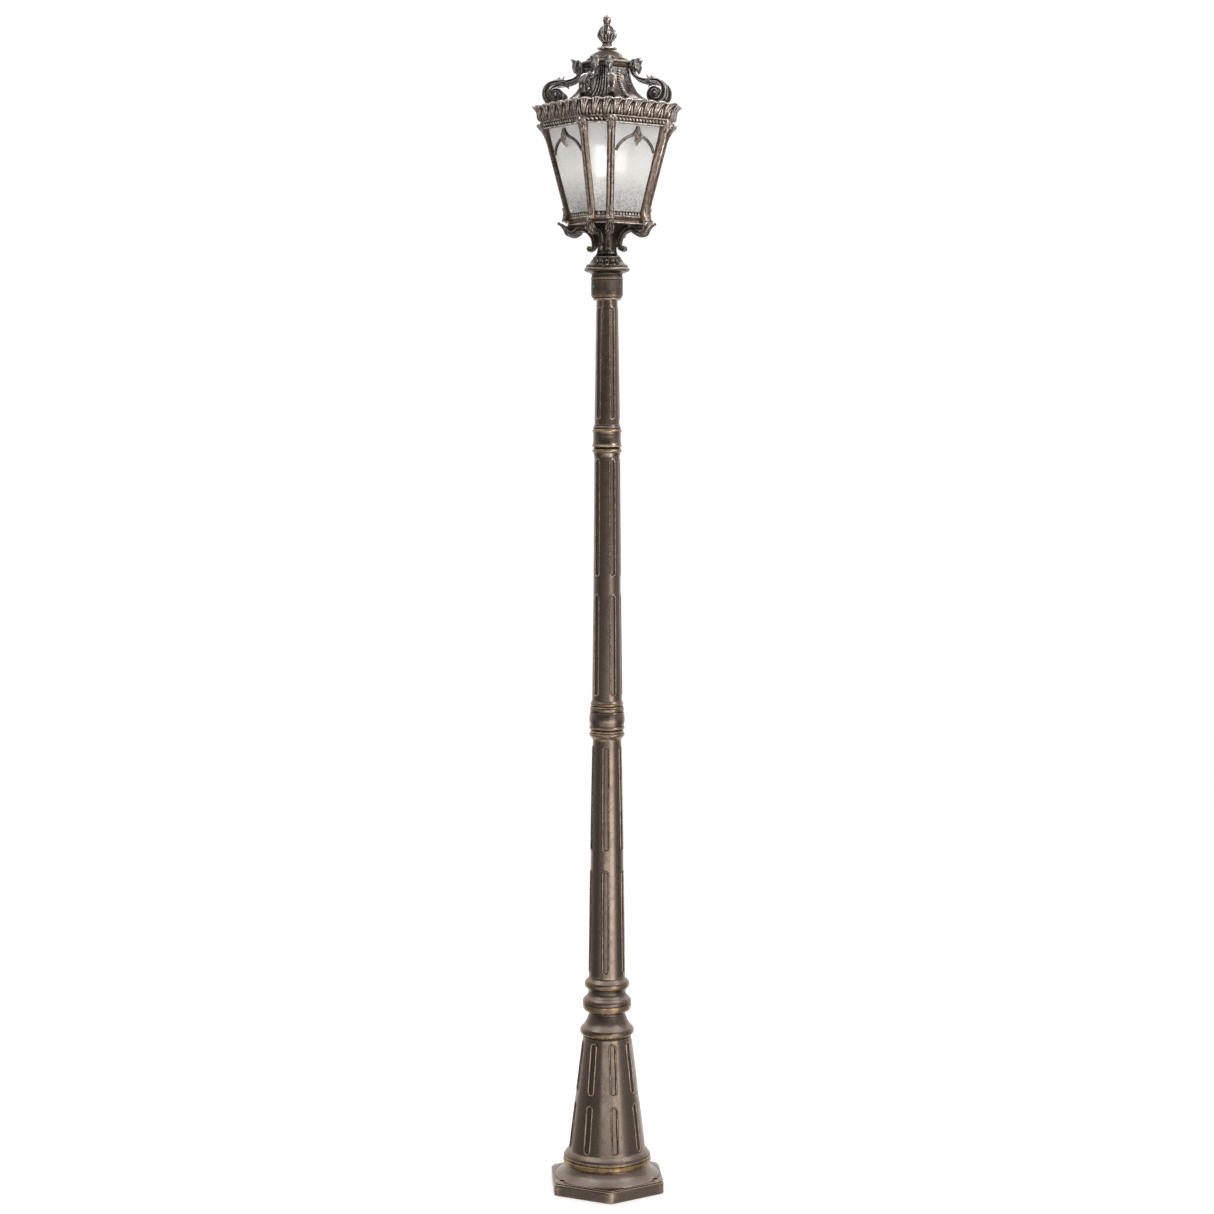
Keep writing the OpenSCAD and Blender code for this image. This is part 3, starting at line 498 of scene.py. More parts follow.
class Piece:
    """Closed parts gathered into one mesh object that rides on a body."""

    def __init__(self, name):
        self.name, self.v, self.q, self.t, self.m, self.n = name, [], [], [], [], 0

    def add(self, verts, quads, tris=None, mask=None):
        verts = np.asarray(verts, float)
        quads = np.asarray(quads, int).reshape(-1, 4)
        tris = np.zeros((0, 3), int) if tris is None or len(tris) == 0 else np.asarray(tris, int).reshape(-1, 3)
        a = np.vstack([quads[:, [0, 1, 2]], quads[:, [0, 2, 3]], tris])
        c = verts.mean(0)
        vol = np.einsum("ij,ij->i", verts[a[:, 0]] - c, np.cross(verts[a[:, 1]] - c, verts[a[:, 2]] - c)).sum()
        if vol < 0:
            quads, tris = quads[:, ::-1], tris[:, ::-1]
        self.v.append(verts)
        self.q.append(quads + self.n)
        self.t.append(tris + self.n)
        self.m.append(np.zeros((len(verts), 3)) if mask is None else np.asarray(mask, float).reshape(-1, 3))
        self.n += len(verts)

    def loft(self, P, closed=False, mask=None):
        """P is rows x cols x 3; every row is a closed loop, and the rows close on each other or get end caps."""
        P = np.asarray(P, float)
        n, m = P.shape[:2]
        i = np.arange(n if closed else n - 1)
        j = np.arange(m)
        I, J = np.meshgrid(i, j, indexing="ij")
        I2, J2 = (I + 1) % n, (J + 1) % m
        quads = np.stack([I * m + J, I * m + J2, I2 * m + J2, I2 * m + J], -1).reshape(-1, 4)
        verts = P.reshape(-1, 3)
        tris = []
        mk = None if mask is None else np.asarray(mask, float).reshape(-1, 3)
        if not closed:
            c0, c1 = P[0].mean(0), P[-1].mean(0)
            k0 = n * m
            verts = np.vstack([verts, c0, c1])
            if mk is not None:
                mk = np.vstack([mk, mk[:m].mean(0), mk[-m:].mean(0)])
            b = (n - 1) * m
            tris = np.vstack([np.stack([np.full(m, k0), (j + 1) % m, j], 1),
                              np.stack([np.full(m, k0 + 1), b + j, b + (j + 1) % m], 1)])
        self.add(verts, quads, tris, mk)

    def done(self, mat, body, replaces=(), slot=None, sharp=42, wear_and_highlight=(70, 330), dirt_and_shade=(50, 300), wear_and_highlight_amt=1.0,
             dirt_and_shade_amt=1.0, cut=None, smooth=2):
        v = np.vstack(self.v) * 0.001
        q = np.vstack(self.q)
        t = np.vstack(self.t)
        m = np.vstack(self.m)
        # surface curvature decides where the paint is lightened as rubbed wear and painted highlight on edges, and
        # darkened as dirt and painted shade in hollows
        a = np.vstack([q[:, [0, 1, 2]], q[:, [0, 2, 3]], t]) if len(t) else np.vstack([q[:, [0, 1, 2]], q[:, [0, 2, 3]]])
        fn = np.cross(v[a[:, 1]] - v[a[:, 0]], v[a[:, 2]] - v[a[:, 0]])
        nv = len(v)
        vn = np.stack([sum(np.bincount(a[:, k], fn[:, c], nv) for k in range(3)) for c in range(3)], 1)
        vn /= np.maximum(np.linalg.norm(vn, axis=1, keepdims=True), 1e-12)
        e = np.vstack([q[:, [0, 1]], q[:, [1, 2]], q[:, [2, 3]], q[:, [3, 0]]])
        if len(t):
            e = np.vstack([e, t[:, [0, 1]], t[:, [1, 2]], t[:, [2, 0]]])
        d = v[e[:, 1]] - v[e[:, 0]]
        L2 = np.maximum((d * d).sum(1), 1e-9)
        h0 = np.einsum("ij,ij->i", d, vn[e[:, 0]]) / L2
        h1 = -np.einsum("ij,ij->i", d, vn[e[:, 1]]) / L2
        deg = np.maximum(np.bincount(e[:, 0], None, nv) + np.bincount(e[:, 1], None, nv), 1)
        k = (np.bincount(e[:, 0], h0, nv) + np.bincount(e[:, 1], h1, nv)) / deg * 2
        w = sstep(-k, *wear_and_highlight) * wear_and_highlight_amt
        g = sstep(k, *dirt_and_shade) * dirt_and_shade_amt
        for _ in range(smooth):
            w = 0.5 * w + 0.5 * (np.bincount(e[:, 0], w[e[:, 1]], nv) + np.bincount(e[:, 1], w[e[:, 0]], nv)) / deg
            g = 0.5 * g + 0.5 * (np.bincount(e[:, 0], g[e[:, 1]], nv) + np.bincount(e[:, 1], g[e[:, 0]], nv)) / deg
        m = m.copy()
        m[:, 1] = np.clip(m[:, 1] + g, 0, 1)
        m[:, 2] = np.clip(m[:, 2] + w, 0, 1)
        me = bpy.data.meshes.new(self.name)
        me.vertices.add(nv)
        me.vertices.foreach_set("co", v.astype(np.float32).ravel())
        loops = np.concatenate([q.ravel(), t.ravel()]).astype(np.int32)
        me.loops.add(len(loops))
        me.loops.foreach_set("vertex_index", loops)
        me.polygons.add(len(q) + len(t))
        starts = np.concatenate([np.arange(len(q)) * 4, len(q) * 4 + np.arange(len(t)) * 3]).astype(np.int32)
        me.polygons.foreach_set("loop_start", starts)
        me.update(calc_edges=True)
        col = me.color_attributes.new("mask", "FLOAT_COLOR", "POINT")
        col.data.foreach_set("color", np.hstack([m, np.ones((nv, 1))]).astype(np.float32).ravel())
        me.polygons.foreach_set("use_smooth", np.ones(len(me.polygons), bool))
        me.set_sharp_from_angle(angle=rad(sharp))
        me.materials.append(mat)
        ob = bpy.data.objects.new(self.name, me)
        scene.collection.objects.link(ob)
        if cut:
            drill(ob, cut)
        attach(ob, body)
        if replaces:
            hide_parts(*replaces)
        return ob


def drill(ob, rods):
    """Cut round holes: rods are (start, end, radius) in millimetres."""
    bm = bmesh.new()
    for a, b, r in rods:
        a, b = Vector(a) * 0.001, Vector(b) * 0.001
        d = b - a
        mat = Matrix.Translation((a + b) / 2) @ d.to_track_quat("Z", "Y").to_matrix().to_4x4()
        bmesh.ops.create_cone(bm, cap_ends=True, segments=48, radius1=r * 0.001, radius2=r * 0.001, depth=d.length, matrix=mat)
    cm = bpy.data.meshes.new("drill")
    bm.to_mesh(cm)
    bm.free()
    co = bpy.data.objects.new("drill", cm)
    scene.collection.objects.link(co)
    mod = ob.modifiers.new("drill", "BOOLEAN")
    mod.object, mod.operation, mod.solver = co, "DIFFERENCE", "EXACT"
    dg = bpy.context.evaluated_depsgraph_get()
    new = bpy.data.meshes.new_from_object(ob.evaluated_get(dg), preserve_all_data_layers=True, depsgraph=dg)
    ob.modifiers.clear()
    old, ob.data = ob.data, new
    new.name = ob.name
    bpy.data.meshes.remove(old)
    bpy.data.objects.remove(co)
    bpy.data.meshes.remove(cm)
    me = ob.data
    co = np.zeros(len(me.vertices) * 3, np.float32)
    me.vertices.foreach_get("co", co)
    co = co.reshape(-1, 3).astype(float)
    mk = np.zeros(len(me.vertices) * 4, np.float32)
    me.color_attributes["mask"].data.foreach_get("color", mk)
    mk = mk.reshape(-1, 4)
    for a, b, r in rods:
        a, b = np.array(a) * 0.001, np.array(b) * 0.001
        d = (b - a) / np.linalg.norm(b - a)
        w = co - a
        t = w @ d
        near = np.abs(np.linalg.norm(w - t[:, None] * d, axis=1) - r * 0.001) < 0.0003
        near &= (t > 0) & (t < np.linalg.norm(b - a))
        # hole walls take the full dark mark: painted shade inside the holes
        mk[near, :3] = (0, 1, 0)
    me.color_attributes["mask"].data.foreach_set("color", mk.ravel())
    me.set_sharp_from_angle(angle=rad(42))


def ring_pts(R, psi, z):
    """R, psi (degrees) and z broadcast to points."""
    a = np.radians(psi)
    R, a, z = np.broadcast_arrays(R, a, z)
    return np.stack([R * np.sin(a), -R * np.cos(a), z], -1)


def turned(name_or_piece, outer, bore, cols=240, disp=None, step=1.2, sm=True, rows=None):
    """Turned tube with optional relief. disp(psi, z, r) gives (out_mm, mask array or None)."""
    pc = name_or_piece if isinstance(name_or_piece, Piece) else Piece(name_or_piece)
    o = spline(outer, step) if sm else np.asarray(outer, float)
    if rows is not None:
        zz = np.asarray(rows, float)
        src = np.asarray(outer, float)
        o = np.stack([np.interp(zz, src[:, 1], src[:, 0]), zz], 1)
    nb = max(3, int((o[-1, 1] - o[0, 1]) / 40) + 2)
    b = np.stack([np.full(nb, float(bore)), np.linspace(o[-1, 1], o[0, 1], nb)], 1)
    prof = np.vstack([o, b])
    psi = np.arange(cols) * 360.0 / cols
    R = np.repeat(prof[:, :1], cols, 1)
    Z = np.repeat(prof[:, 1:], cols, 1)
    mask = np.zeros(R.shape + (3,))
    if disp is not None:
        k = len(o)
        d, m = disp(psi[None, :], Z[:k], R[:k])
        R[:k] += d
        if m is not None:
            mask[:k] = m
    pc.loft(ring_pts(R, psi[None, :], Z), closed=True, mask=mask)
    return pc


def flutes(psi0, count, tiers, width, depth=1.9, bead=1.15, gilt=0.35):
    """Long round-ended sunk panels with a raised bead round them."""
    def f(psi, z, r):
        out = np.zeros(np.broadcast(psi, z).shape)
        m = np.zeros(out.shape + (3,))
        pitch = 360.0 / count
        dpsi = (psi - psi0 + pitch / 2) % pitch - pitch / 2
        x = np.radians(dpsi) * r
        for za, zb in tiers:
            a, b = za + width / 2, zb - width / 2
            y = np.where(z < a, z - a, np.where(z > b, z - b, 0.0))
            d = np.hypot(x, y) - width / 2
            out += bead * bell(d, 0.9, 1.35) - depth * sstep(-d, -0.1, 1.5)
            # the bead gets gold and pale marks that partly paint its highlight; the panel's inner edge and floor get
            # painted shade
            m[..., 0] = np.maximum(m[..., 0], gilt * bell(d, 0.8, 1.1))
            m[..., 1] = np.maximum(m[..., 1], 0.95 * bell(d, -1.4, 0.9) + 0.2 * sstep(-d, 1.0, 2.0))
            m[..., 2] = np.maximum(m[..., 2], 0.7 * bell(d, 0.9, 0.95))
        return out, m
    return f


def band_mask(spec):
    """spec: list of (z0, z1, channel, amount): paints bands of a turned piece."""
    def f(psi, z, r):
        m = np.zeros(np.broadcast(psi, z).shape + (3,))
        # channel 1 bands darken grooves as dirt and painted shade; channel 2 bands lighten rims as wear and painted
        # highlight
        for z0, z1, ch, amt in spec:
            m[..., ch] = np.maximum(m[..., ch], amt * sstep(z, z0 - 0.7, z0 + 0.7) * (1 - sstep(z, z1 - 0.7, z1 + 0.7)))
        return 0.0, m
    return f


def tier_rows(z0, z1, tiers, w, fine=1.1, coarse=7.0):
    """Row heights that are close together near the rounded ends of the panels."""
    marks = [z0, z1]
    zs = [z0]
    z = z0
    while z < z1:
        near = min([abs(z - e) for t in tiers for e in (t[0], t[1])] + [1e9])
        inside = any(abs(z - e) < w for t in tiers for e in (t[0], t[1]))
        z += fine if inside or near < w else min(coarse, max(fine, (near - w) * 0.5))
        zs.append(min(z, z1))
    return zs


# ---------------------------------------------------------------- the post
FOOT_TURN = 3.7


def hex_r(psi, c, rnd):
    """Polar radius of a rounded hexagon of circumradius c."""
    d = (psi - FOOT_TURN + 30.0) % 60.0 - 30.0
    C = c - rnd / math.cos(rad(30))
    dt = math.degrees(math.atan2(rnd * math.sin(rad(30)), C + rnd * math.cos(rad(30))))
    a = c * math.cos(rad(30))
    side = a / np.cos(np.radians(30.0 - np.abs(d)))
    dr = np.radians(d)
    circ = C * np.cos(dr) + np.sqrt(np.maximum(rnd ** 2 - (C * np.sin(dr)) ** 2, 0))
    return np.where(np.abs(d) < dt, circ, side)


def build_foot():
    cols = 600
    psi = np.arange(cols) * 360.0 / cols
    rows = []

    def hexrow(z, c, rnd=15.0):
        rows.append((hex_r(psi, c, rnd), np.full(cols, float(z))))

    for z, c in [(0, 167.6), (0.5, 169.0), (1.6, 169.8), (3, 170), (6, 170), (12, 170), (18, 170), (24, 170), (28, 169.9),
                 (29.2, 169.3), (29.9, 168.2), (30.1, 166.9), (30.3, 166.0), (31.0, 165.6), (32.4, 165.5), (33.4, 165.1),
                 (33.9, 164.2), (34.0, 163.0)]:
        hexrow(z, c)
    h = hex_r(psi, 163.0, 14.0)
    c0 = np.minimum(143.0, hex_r(psi, 163.0, 14.0) - 0.6)
    for t in np.linspace(0.08, 1, 14):
        rows.append((h + (c0 - h) * t, np.full(cols, 34.0)))
    cone = spline([(141.5, 34.6), (138, 36.4), (134.3, 38.9), (127.4, 44.1), (121, 50), (115.8, 57.5), (113.2, 62),
                   (112, 65)], 2.0)
    for r, z in cone:
        rows.append((np.minimum(r, c0), np.full(cols, z)))
    rows.append((np.full(cols, 102.0), np.full(cols, 65.0)))
    for z in (65.0, 40.0, 20.0, 0.0):
        rows.append((np.full(cols, 92.0), np.full(cols, z)))
    for t in (0.25, 0.5, 0.75):
        rows.append((92.0 + (hex_r(psi, 167.6, 15.0) - 92.0) * t, np.zeros(cols)))
    R = np.array([a for a, _ in rows])
    Z = np.array([b for _, b in rows])
    P = ring_pts(R, psi[None, :], Z)
    m = np.zeros(R.shape + (3,))
    n_up = 18 + 14 + len(cone)
    rods = []
    for k in range(3):
        c = ring_pts(145.0, FOOT_TURN + 60 + 120 * k, 0.0)
        d = np.hypot(P[..., 0] - c[0], P[..., 1] - c[1])
        lift = 2.6 * sstep(12.8 - d, 0, 1.8)
        top = (np.arange(len(rows)) >= 17) & (np.arange(len(rows)) < n_up)
        P[..., 2] += np.where(top[:, None], np.minimum(lift, np.maximum(37.0 - Z, 0)), 0)
        # a pale ring round each pad: painted highlight
        m[..., 2] = np.maximum(m[..., 2], np.where(top[:, None], 0.5 * bell(d, 12.0, 1.2), 0))
        rods.append(((c[0], c[1], -5.0), (c[0], c[1], 60.0), 6.5))
    d = (psi - FOOT_TURN + 30.0) % 60.0 - 30.0
    corner = bell(d, 0, 4.5)
    edge = (Z < 30.5) & (R > 120)
    # gilt on the lower edge, and gilt with pale marks on the hex corners, partly a painted highlight on the corners
    m[..., 0] = np.where(edge, np.maximum(0.55 * sstep(5.5 - Z, 0, 4), 0.45 * corner[None, :]), 0)
    m[..., 2] = np.maximum(m[..., 2], np.where(edge, 0.8 * corner[None, :] * bell(Z, 15, 18), 0))
    m[..., 0] = np.maximum(m[..., 0], np.where((Z > 29) & (R > 150), 0.15, 0))
    # dark rings in the step crease and at the foot of the cone: painted shade
    m[..., 1] = np.maximum(m[..., 1], 0.8 * bell(R, 165.6, 0.6) * (Z > 30.2) * (Z < 32))
    m[..., 1] = np.maximum(m[..., 1], np.where((Z > 33.5) & (Z < 35.5), 0.5 * bell(R, 143, 2.5), 0))
    pc = Piece("foot_casting")
    pc.loft(P, closed=True, mask=m)
    pc.done(post_mat, "root", ["foot"], "post_bronze", cut=rods, wear_and_highlight=(60, 500), wear_and_highlight_amt=0.25)


build_foot()

turned("foot_ring_moulding",
       [(112.2, 65), (114.6, 65.9), (116.6, 67.8), (118.0, 71.0), (118.5, 74.4), (118.2, 77.2), (116.6, 79.8), (115.3, 81.1),
        (115.5, 82.2), (116.9, 83.2), (117.2, 85.2), (116.6, 87.8), (115.0, 89.2), (114.3, 90.8), (113.0, 93.8),
        (110.6, 97.0), (107.2, 100.8), (104.6, 103.4), (103.5, 105)], 92, 300, step=0.9,
       disp=band_mask([(65, 79.8, 0, 0.85), (80.2, 82, 1, 0.9), (83.5, 87.5, 0, 0.3), (88.7, 90.2, 1, 0.8)])
       ).done(gilt_mat, "root", ["foot_ring"], "gilt", wear_and_highlight=(50, 260))

ped_tiers = [(110, 235), (266, 400)]
turned("pedestal_cone", [(102.9, 105), (64.6, 410)], 58, 480,
       flutes(12.5, 8, ped_tiers, 15.0, 2.4, 1.3, 0.35), rows=tier_rows(105, 410, ped_tiers, 18)
       ).done(post_mat, "root", ["pedestal"], "post_bronze", dirt_and_shade_amt=0.7, wear_and_highlight_amt=0.8)

turned("pedestal_collar_moulding",
       [(63.6, 410), (62.8, 413), (64.4, 415), (68.2, 417.6), (71.3, 421), (72.5, 425.5), (72.0, 430.5), (69.8, 435.8),
        (64.8, 441), (59.9, 446.8), (56.2, 453), (52.6, 461.4), (49.8, 469.6), (48.0, 475.4), (48.6, 478), (52.0, 480.2),
        (57.6, 482), (61.2, 483.4), (62.4, 485.8), (63.9, 488.6), (65.1, 493), (65.3, 497), (65.0, 499.6), (64.4, 501.2),
        (65.2, 503.6), (65.4, 507.4), (63.8, 512.2), (60.4, 517), (54.6, 522.2), (51.0, 527.6), (49.7, 533),
        (50.6, 536.6), (54.0, 541.8), (58.4, 546.4), (60.1, 550.6), (60.3, 554.8), (59.2, 559.4), (56.4, 563.6),
        (52.6, 567.2), (50.0, 570.6), (49.2, 573.4), (48.9, 577)], 30, 300, step=0.9,
       disp=band_mask([(411.5, 414.5, 1, 0.7), (415, 426, 0, 0.8), (450, 474, 1, 0.25), (476, 481, 1, 0.6),
                       (482.5, 499.5, 0, 0.7), (500.3, 502.3, 1, 0.8), (524, 540, 1, 0.3), (547, 556, 0, 0.65),
                       (572, 577, 0, 0.4)])
       ).done(post_mat, "root", ["pedestal_collar"], "post_bronze", wear_and_highlight=(50, 260), wear_and_highlight_amt=0.8)

low_tiers = [(587, 863), (918, 1198)]
turned("lower_shaft_fluted", [(48.5, 577), (45.8, 778), (41.4, 1049), (38, 1213)], 30, 420,
       flutes(-4.0, 5, low_tiers, 14.5, 2.5, 1.4, 0.45), rows=tier_rows(577, 1213, low_tiers, 16)
       ).done(post_mat, "root", ["lower_shaft"], "post_bronze", dirt_and_shade_amt=0.7, wear_and_highlight_amt=0.8)

turned("lower_collar_moulding",
       [(38.4, 1213), (39.2, 1216), (41.4, 1219.4), (45.0, 1223.6), (46.9, 1226.2), (47.2, 1229.2), (45.6, 1231.8),
        (44.3, 1232.8), (45.1, 1234.4), (44.9, 1236.6), (43.0, 1239.2), (42.9, 1241), (44.6, 1242.6), (46.8, 1243.8),
        (47.1, 1246), (45.8, 1248.6), (44.9, 1251.4), (45.8, 1256.6), (47.0, 1263.4), (47.3, 1269.4), (46.7, 1277.4),
        (45.5, 1285.4), (44.2, 1288.6), (44.3, 1290.6), (45.1, 1293.4), (45.2, 1297.6), (44.2, 1301.4), (42.3, 1304.2),
        (42.2, 1305.8), (43.4, 1308.2), (43.6, 1311), (42.5, 1314.6), (40.9, 1317.6), (40.2, 1320)], 26, 264, step=0.8,
       disp=band_mask([(1213, 1219, 0, 0.85), (1219, 1230, 0, 0.35), (1231.5, 1233.4, 1, 0.8), (1234, 1238, 0, 0.6),
                       (1239, 1242, 1, 0.85), (1243, 1247, 0, 0.8), (1249, 1252, 1, 0.6), (1287.5, 1291, 1, 0.75),
                       (1294, 1299.5, 0, 0.75), (1303.5, 1306.2, 1, 0.85), (1307.4, 1313, 0, 0.8)])
       ).done(post_mat, "root", ["lower_collar"], "post_bronze", wear_and_highlight=(50, 260), wear_and_highlight_amt=0.8)

mid_tiers = [(1335, 1602), (1653, 1960)]
turned("middle_shaft_fluted", [(39.9, 1320), (36.5, 1590), (34.4, 1852), (33.6, 1966)], 26, 384,
       flutes(24.7, 5, mid_tiers, 13.5, 2.4, 1.35, 0.45), rows=tier_rows(1320, 1966, mid_tiers, 15)
       ).done(post_mat, "root", ["middle_shaft"], "post_bronze", dirt_and_shade_amt=0.7, wear_and_highlight_amt=0.8)

turned("upper_collar_moulding",
       [(33.8, 1966), (34.1, 1969.6), (34.8, 1973.6), (36.3, 1978.2), (38.6, 1980.4), (39.4, 1982.8), (38.4, 1985.8),
        (36.2, 1988.2), (34.5, 1990.4), (34.3, 1991.8), (36.6, 1993), (39.8, 1993.8), (40.5, 1995.4), (39.6, 1997.2),
        (38.1, 2000.4), (37.0, 2006), (36.3, 2014), (36.5, 2023), (36.9, 2030.4), (38.3, 2033), (39.0, 2035.4),
        (38.3, 2038), (36.5, 2040), (36.2, 2043), (36.3, 2045.6), (34.8, 2048), (34.0, 2050), (33.7, 2052)], 26, 240,
       step=0.8,
       disp=band_mask([(1980, 1985, 0, 0.85), (1987.5, 1992.5, 1, 0.9), (1993, 1998, 0, 0.85), (2031.8, 2038.5, 0, 0.85),
                       (2040, 2042.5, 1, 0.8), (2047, 2050, 1, 0.6)])
       ).done(post_mat, "root", ["upper_collar"], "post_bronze", wear_and_highlight=(50, 260), wear_and_highlight_amt=0.8)

up_tiers = [(2068, 2358)]
turned("upper_shaft_fluted", [(33.2, 2052), (31.1, 2181), (27.8, 2378)], 21, 336,
       flutes(27, 5, up_tiers, 12.0, 2.2, 1.2, 0.45), rows=tier_rows(2052, 2378, up_tiers, 13)
       ).done(post_mat, "root", ["upper_shaft"], "post_bronze", dirt_and_shade_amt=0.7, wear_and_highlight_amt=0.8)

turned("post_top_rim_moulding",
       [(29, 2378), (33.5, 2378.4), (36.4, 2379.4), (37.5, 2381.4), (37.0, 2383.4), (36.6, 2384.6), (38.6, 2385.8),
        (40.6, 2387), (41.2, 2389), (40.9, 2391)], 21, 216, step=0.7,
       disp=band_mask([(2378, 2383.4, 2, 0.7), (2383.8, 2386.4, 1, 0.9), (2386.4, 2391, 1, 0.35)])
       ).done(gilt_mat, "root", ["post_top_rim"], "gilt", wear_and_highlight=(50, 260))


# ---------------------------------------------------------------- lantern geometry helpers
LT = -9.3
NH, WH = 13.3, 31.7


def corner_psi(k):
    k = k % 8
    return LT + 90 * (k // 2) + (-NH if k % 2 == 0 else NH)


def wide_psi(i):
    return LT + 45 + 90 * i


def narrow_psi(i):
    return LT + 90 * i


def glass_R(z):
    return 104.4 + 0.2605 * (z - 2608)


LEAN = math.degrees(math.atan(0.2605 * math.cos(rad(WH))))


def radial(psi, P):
    """Local (out, sideways, up) at compass angle psi to lamp coordinates."""
    P = np.asarray(P, float)
    s, c = math.sin(rad(psi)), math.cos(rad(psi))
    return np.stack([P[..., 0] * s + P[..., 1] * c, -P[..., 0] * c + P[..., 1] * s, P[..., 2]], -1)


def on_face(psi, half, z0, P):
    """Local (sideways, up the pane, off the pane) on a leaning face."""
    P = np.asarray(P, float)
    ln = math.atan(0.2605 * math.cos(rad(half)))
    ap = glass_R(z0) * math.cos(rad(half))
    out = ap + P[..., 1] * math.sin(ln) + P[..., 2] * math.cos(ln)
    up = z0 + P[..., 1] * math.cos(ln) - P[..., 2] * math.sin(ln)
    return radial(psi, np.stack([out, P[..., 0], up], -1))


def wobble(x, y, seed=0.0):
    """Smooth repeatable unevenness, about -1 to 1."""
    return (np.sin(x * 1.7 + 1.3 * seed) * np.sin(y * 1.3 + 2.1 * seed) + 0.6 * np.sin(x * 3.9 + y * 2.3 + seed)
            + 0.4 * np.sin(x * 8.3 - y * 6.1 + 2 * seed)) / 2.0


def ring8(pc, prof, relief=None, nw=72, nn=30, corner_relief=True):
    """Eight-sided mitred ring. prof is a closed (corner radius, height) outline.
    relief(wide, s, half, R, z, i) gives (out, up, mask) over the face."""
    prof = np.asarray(prof, float)
    n = len(prof)
    blocks, masks = [], []
    R, Z = prof[:, 0][:, None], prof[:, 1][:, None]
    idx = np.arange(n)[:, None]
    for k in range(8):
        wide = k % 2 == 1
        m = nw if wide else nn
        hf = WH if wide else NH
        pf = (wide_psi(k // 2) if wide else narrow_psi(k // 2))
        u = np.arange(m) / m * 2 - 1
        half = R * math.sin(rad(hf))
        s = u[None, :] * half
        ap = R * math.cos(rad(hf)) + 0 * s
        z = Z + 0 * s
        mk = np.zeros(s.shape + (3,))
        if relief is not None:
            o, up, mm = relief(wide, s, half, R, z, idx)
            o = o + 0 * s
            up = up + 0 * s
            side = np.zeros_like(s)
            # at the corner itself the two faces share one point, moved along the mitre
            side[:, 0] = -o[:, 0] * math.tan(rad(hf))
            ap = ap + o
            s = s + side
            z = z + up
            if mm is not None:
                mk = mm + np.zeros(s.shape + (3,))
        blocks.append(radial(pf, np.stack([ap, s, z], -1)))
        masks.append(mk)
    pc.loft(np.concatenate(blocks, 1), closed=True, mask=np.concatenate(masks, 1))


def mask3(shape, g=0.0, c=0.0, w=0.0):
    m = np.zeros(np.broadcast_shapes(shape, np.shape(g), np.shape(c), np.shape(w)) + (3,))
    m[..., 0], m[..., 1], m[..., 2] = g, c, w
    return m


def strip(pc, outer, inner, half_w, tf, prof=None, groove=0.0, crown=0.8, rims=True, mask=None):
    """A flat-sided bar between an outer and an inner edge line, in the (out, up) plane, half_w to each side."""
    outer, inner = np.asarray(outer, float), np.asarray(inner, float)
    n = len(outer)
    hw = np.broadcast_to(np.asarray(half_w, float), (n,))
    f = np.array([0.0, 0.05, 0.14, 0.26, 0.38, 0.5, 0.62, 0.74, 0.86, 0.95, 1.0])
    dy = np.array([-0.9, -0.15, 0.0, -0.35, -1.0, -1.15, -1.0, -0.35, 0.0, -0.15, -0.9])
    if not rims:
        dy = np.array([-0.9, -0.3, -0.05, 0, 0, 0, 0, 0, -0.05, -0.3, -0.9])
    loop_f = np.concatenate([f, [1.0, 1.0, 1.0], f[::-1], [0.0, 0.0, 0.0]])
    d = outer - inner
    L = np.maximum(np.linalg.norm(d, axis=1), 1e-6)
    t = d / L[:, None]
    P = np.zeros((n, len(loop_f), 3))
    M = np.zeros((n, len(loop_f), 3))
    for i in range(n):
        k = max(0.15, min(1.0, hw[i] / 6.0))
        amp = min(1.0, L[i] / 9.0) * (1.0 + groove)
        y = hw[i] + dy * k * amp
        yy = np.concatenate([y, [y[-1] * 0.6, 0.0, -y[-1] * 0.6], -y[::-1], [-y[0] * 0.6, 0.0, y[0] * 0.6]])
        out = np.concatenate([np.zeros(11), [crown * 0.8, crown, crown * 0.8], np.zeros(11), [-crown * 0.6, -crown * 0.8, -crown * 0.6]])
        pos = inner[i][None, :] + d[i][None, :] * loop_f[:, None] + t[i][None, :] * out[:, None]
        P[i, :, 0], P[i, :, 1], P[i, :, 2] = pos[:, 0], yy, pos[:, 1]
        # the channel between the rims is darkened: painted shade in the groove
        dirt_and_shade = np.concatenate([bell(f, 0.5, 0.16) * 0.75, [0, 0, 0], bell(f[::-1], 0.5, 0.16) * 0.75, [0.2, 0.2, 0.2]])
        M[i, :, 1] = dirt_and_shade * min(1.0, L[i] / 9.0)
    pc.loft(tf(P), closed=False, mask=M if mask is None else mask)


def offset_edges(path, half):
    """Edge lines of a band of half thickness `half` about a path."""
    p = np.asarray(path, float)
    d = np.gradient(p, axis=0)
    d /= np.maximum(np.linalg.norm(d, axis=1, keepdims=True), 1e-9)
    nrm = np.stack([-d[:, 1], d[:, 0]], 1)
    h = np.broadcast_to(np.asarray(half, float), (len(p),))[:, None]
    return p + nrm * h, p - nrm * h


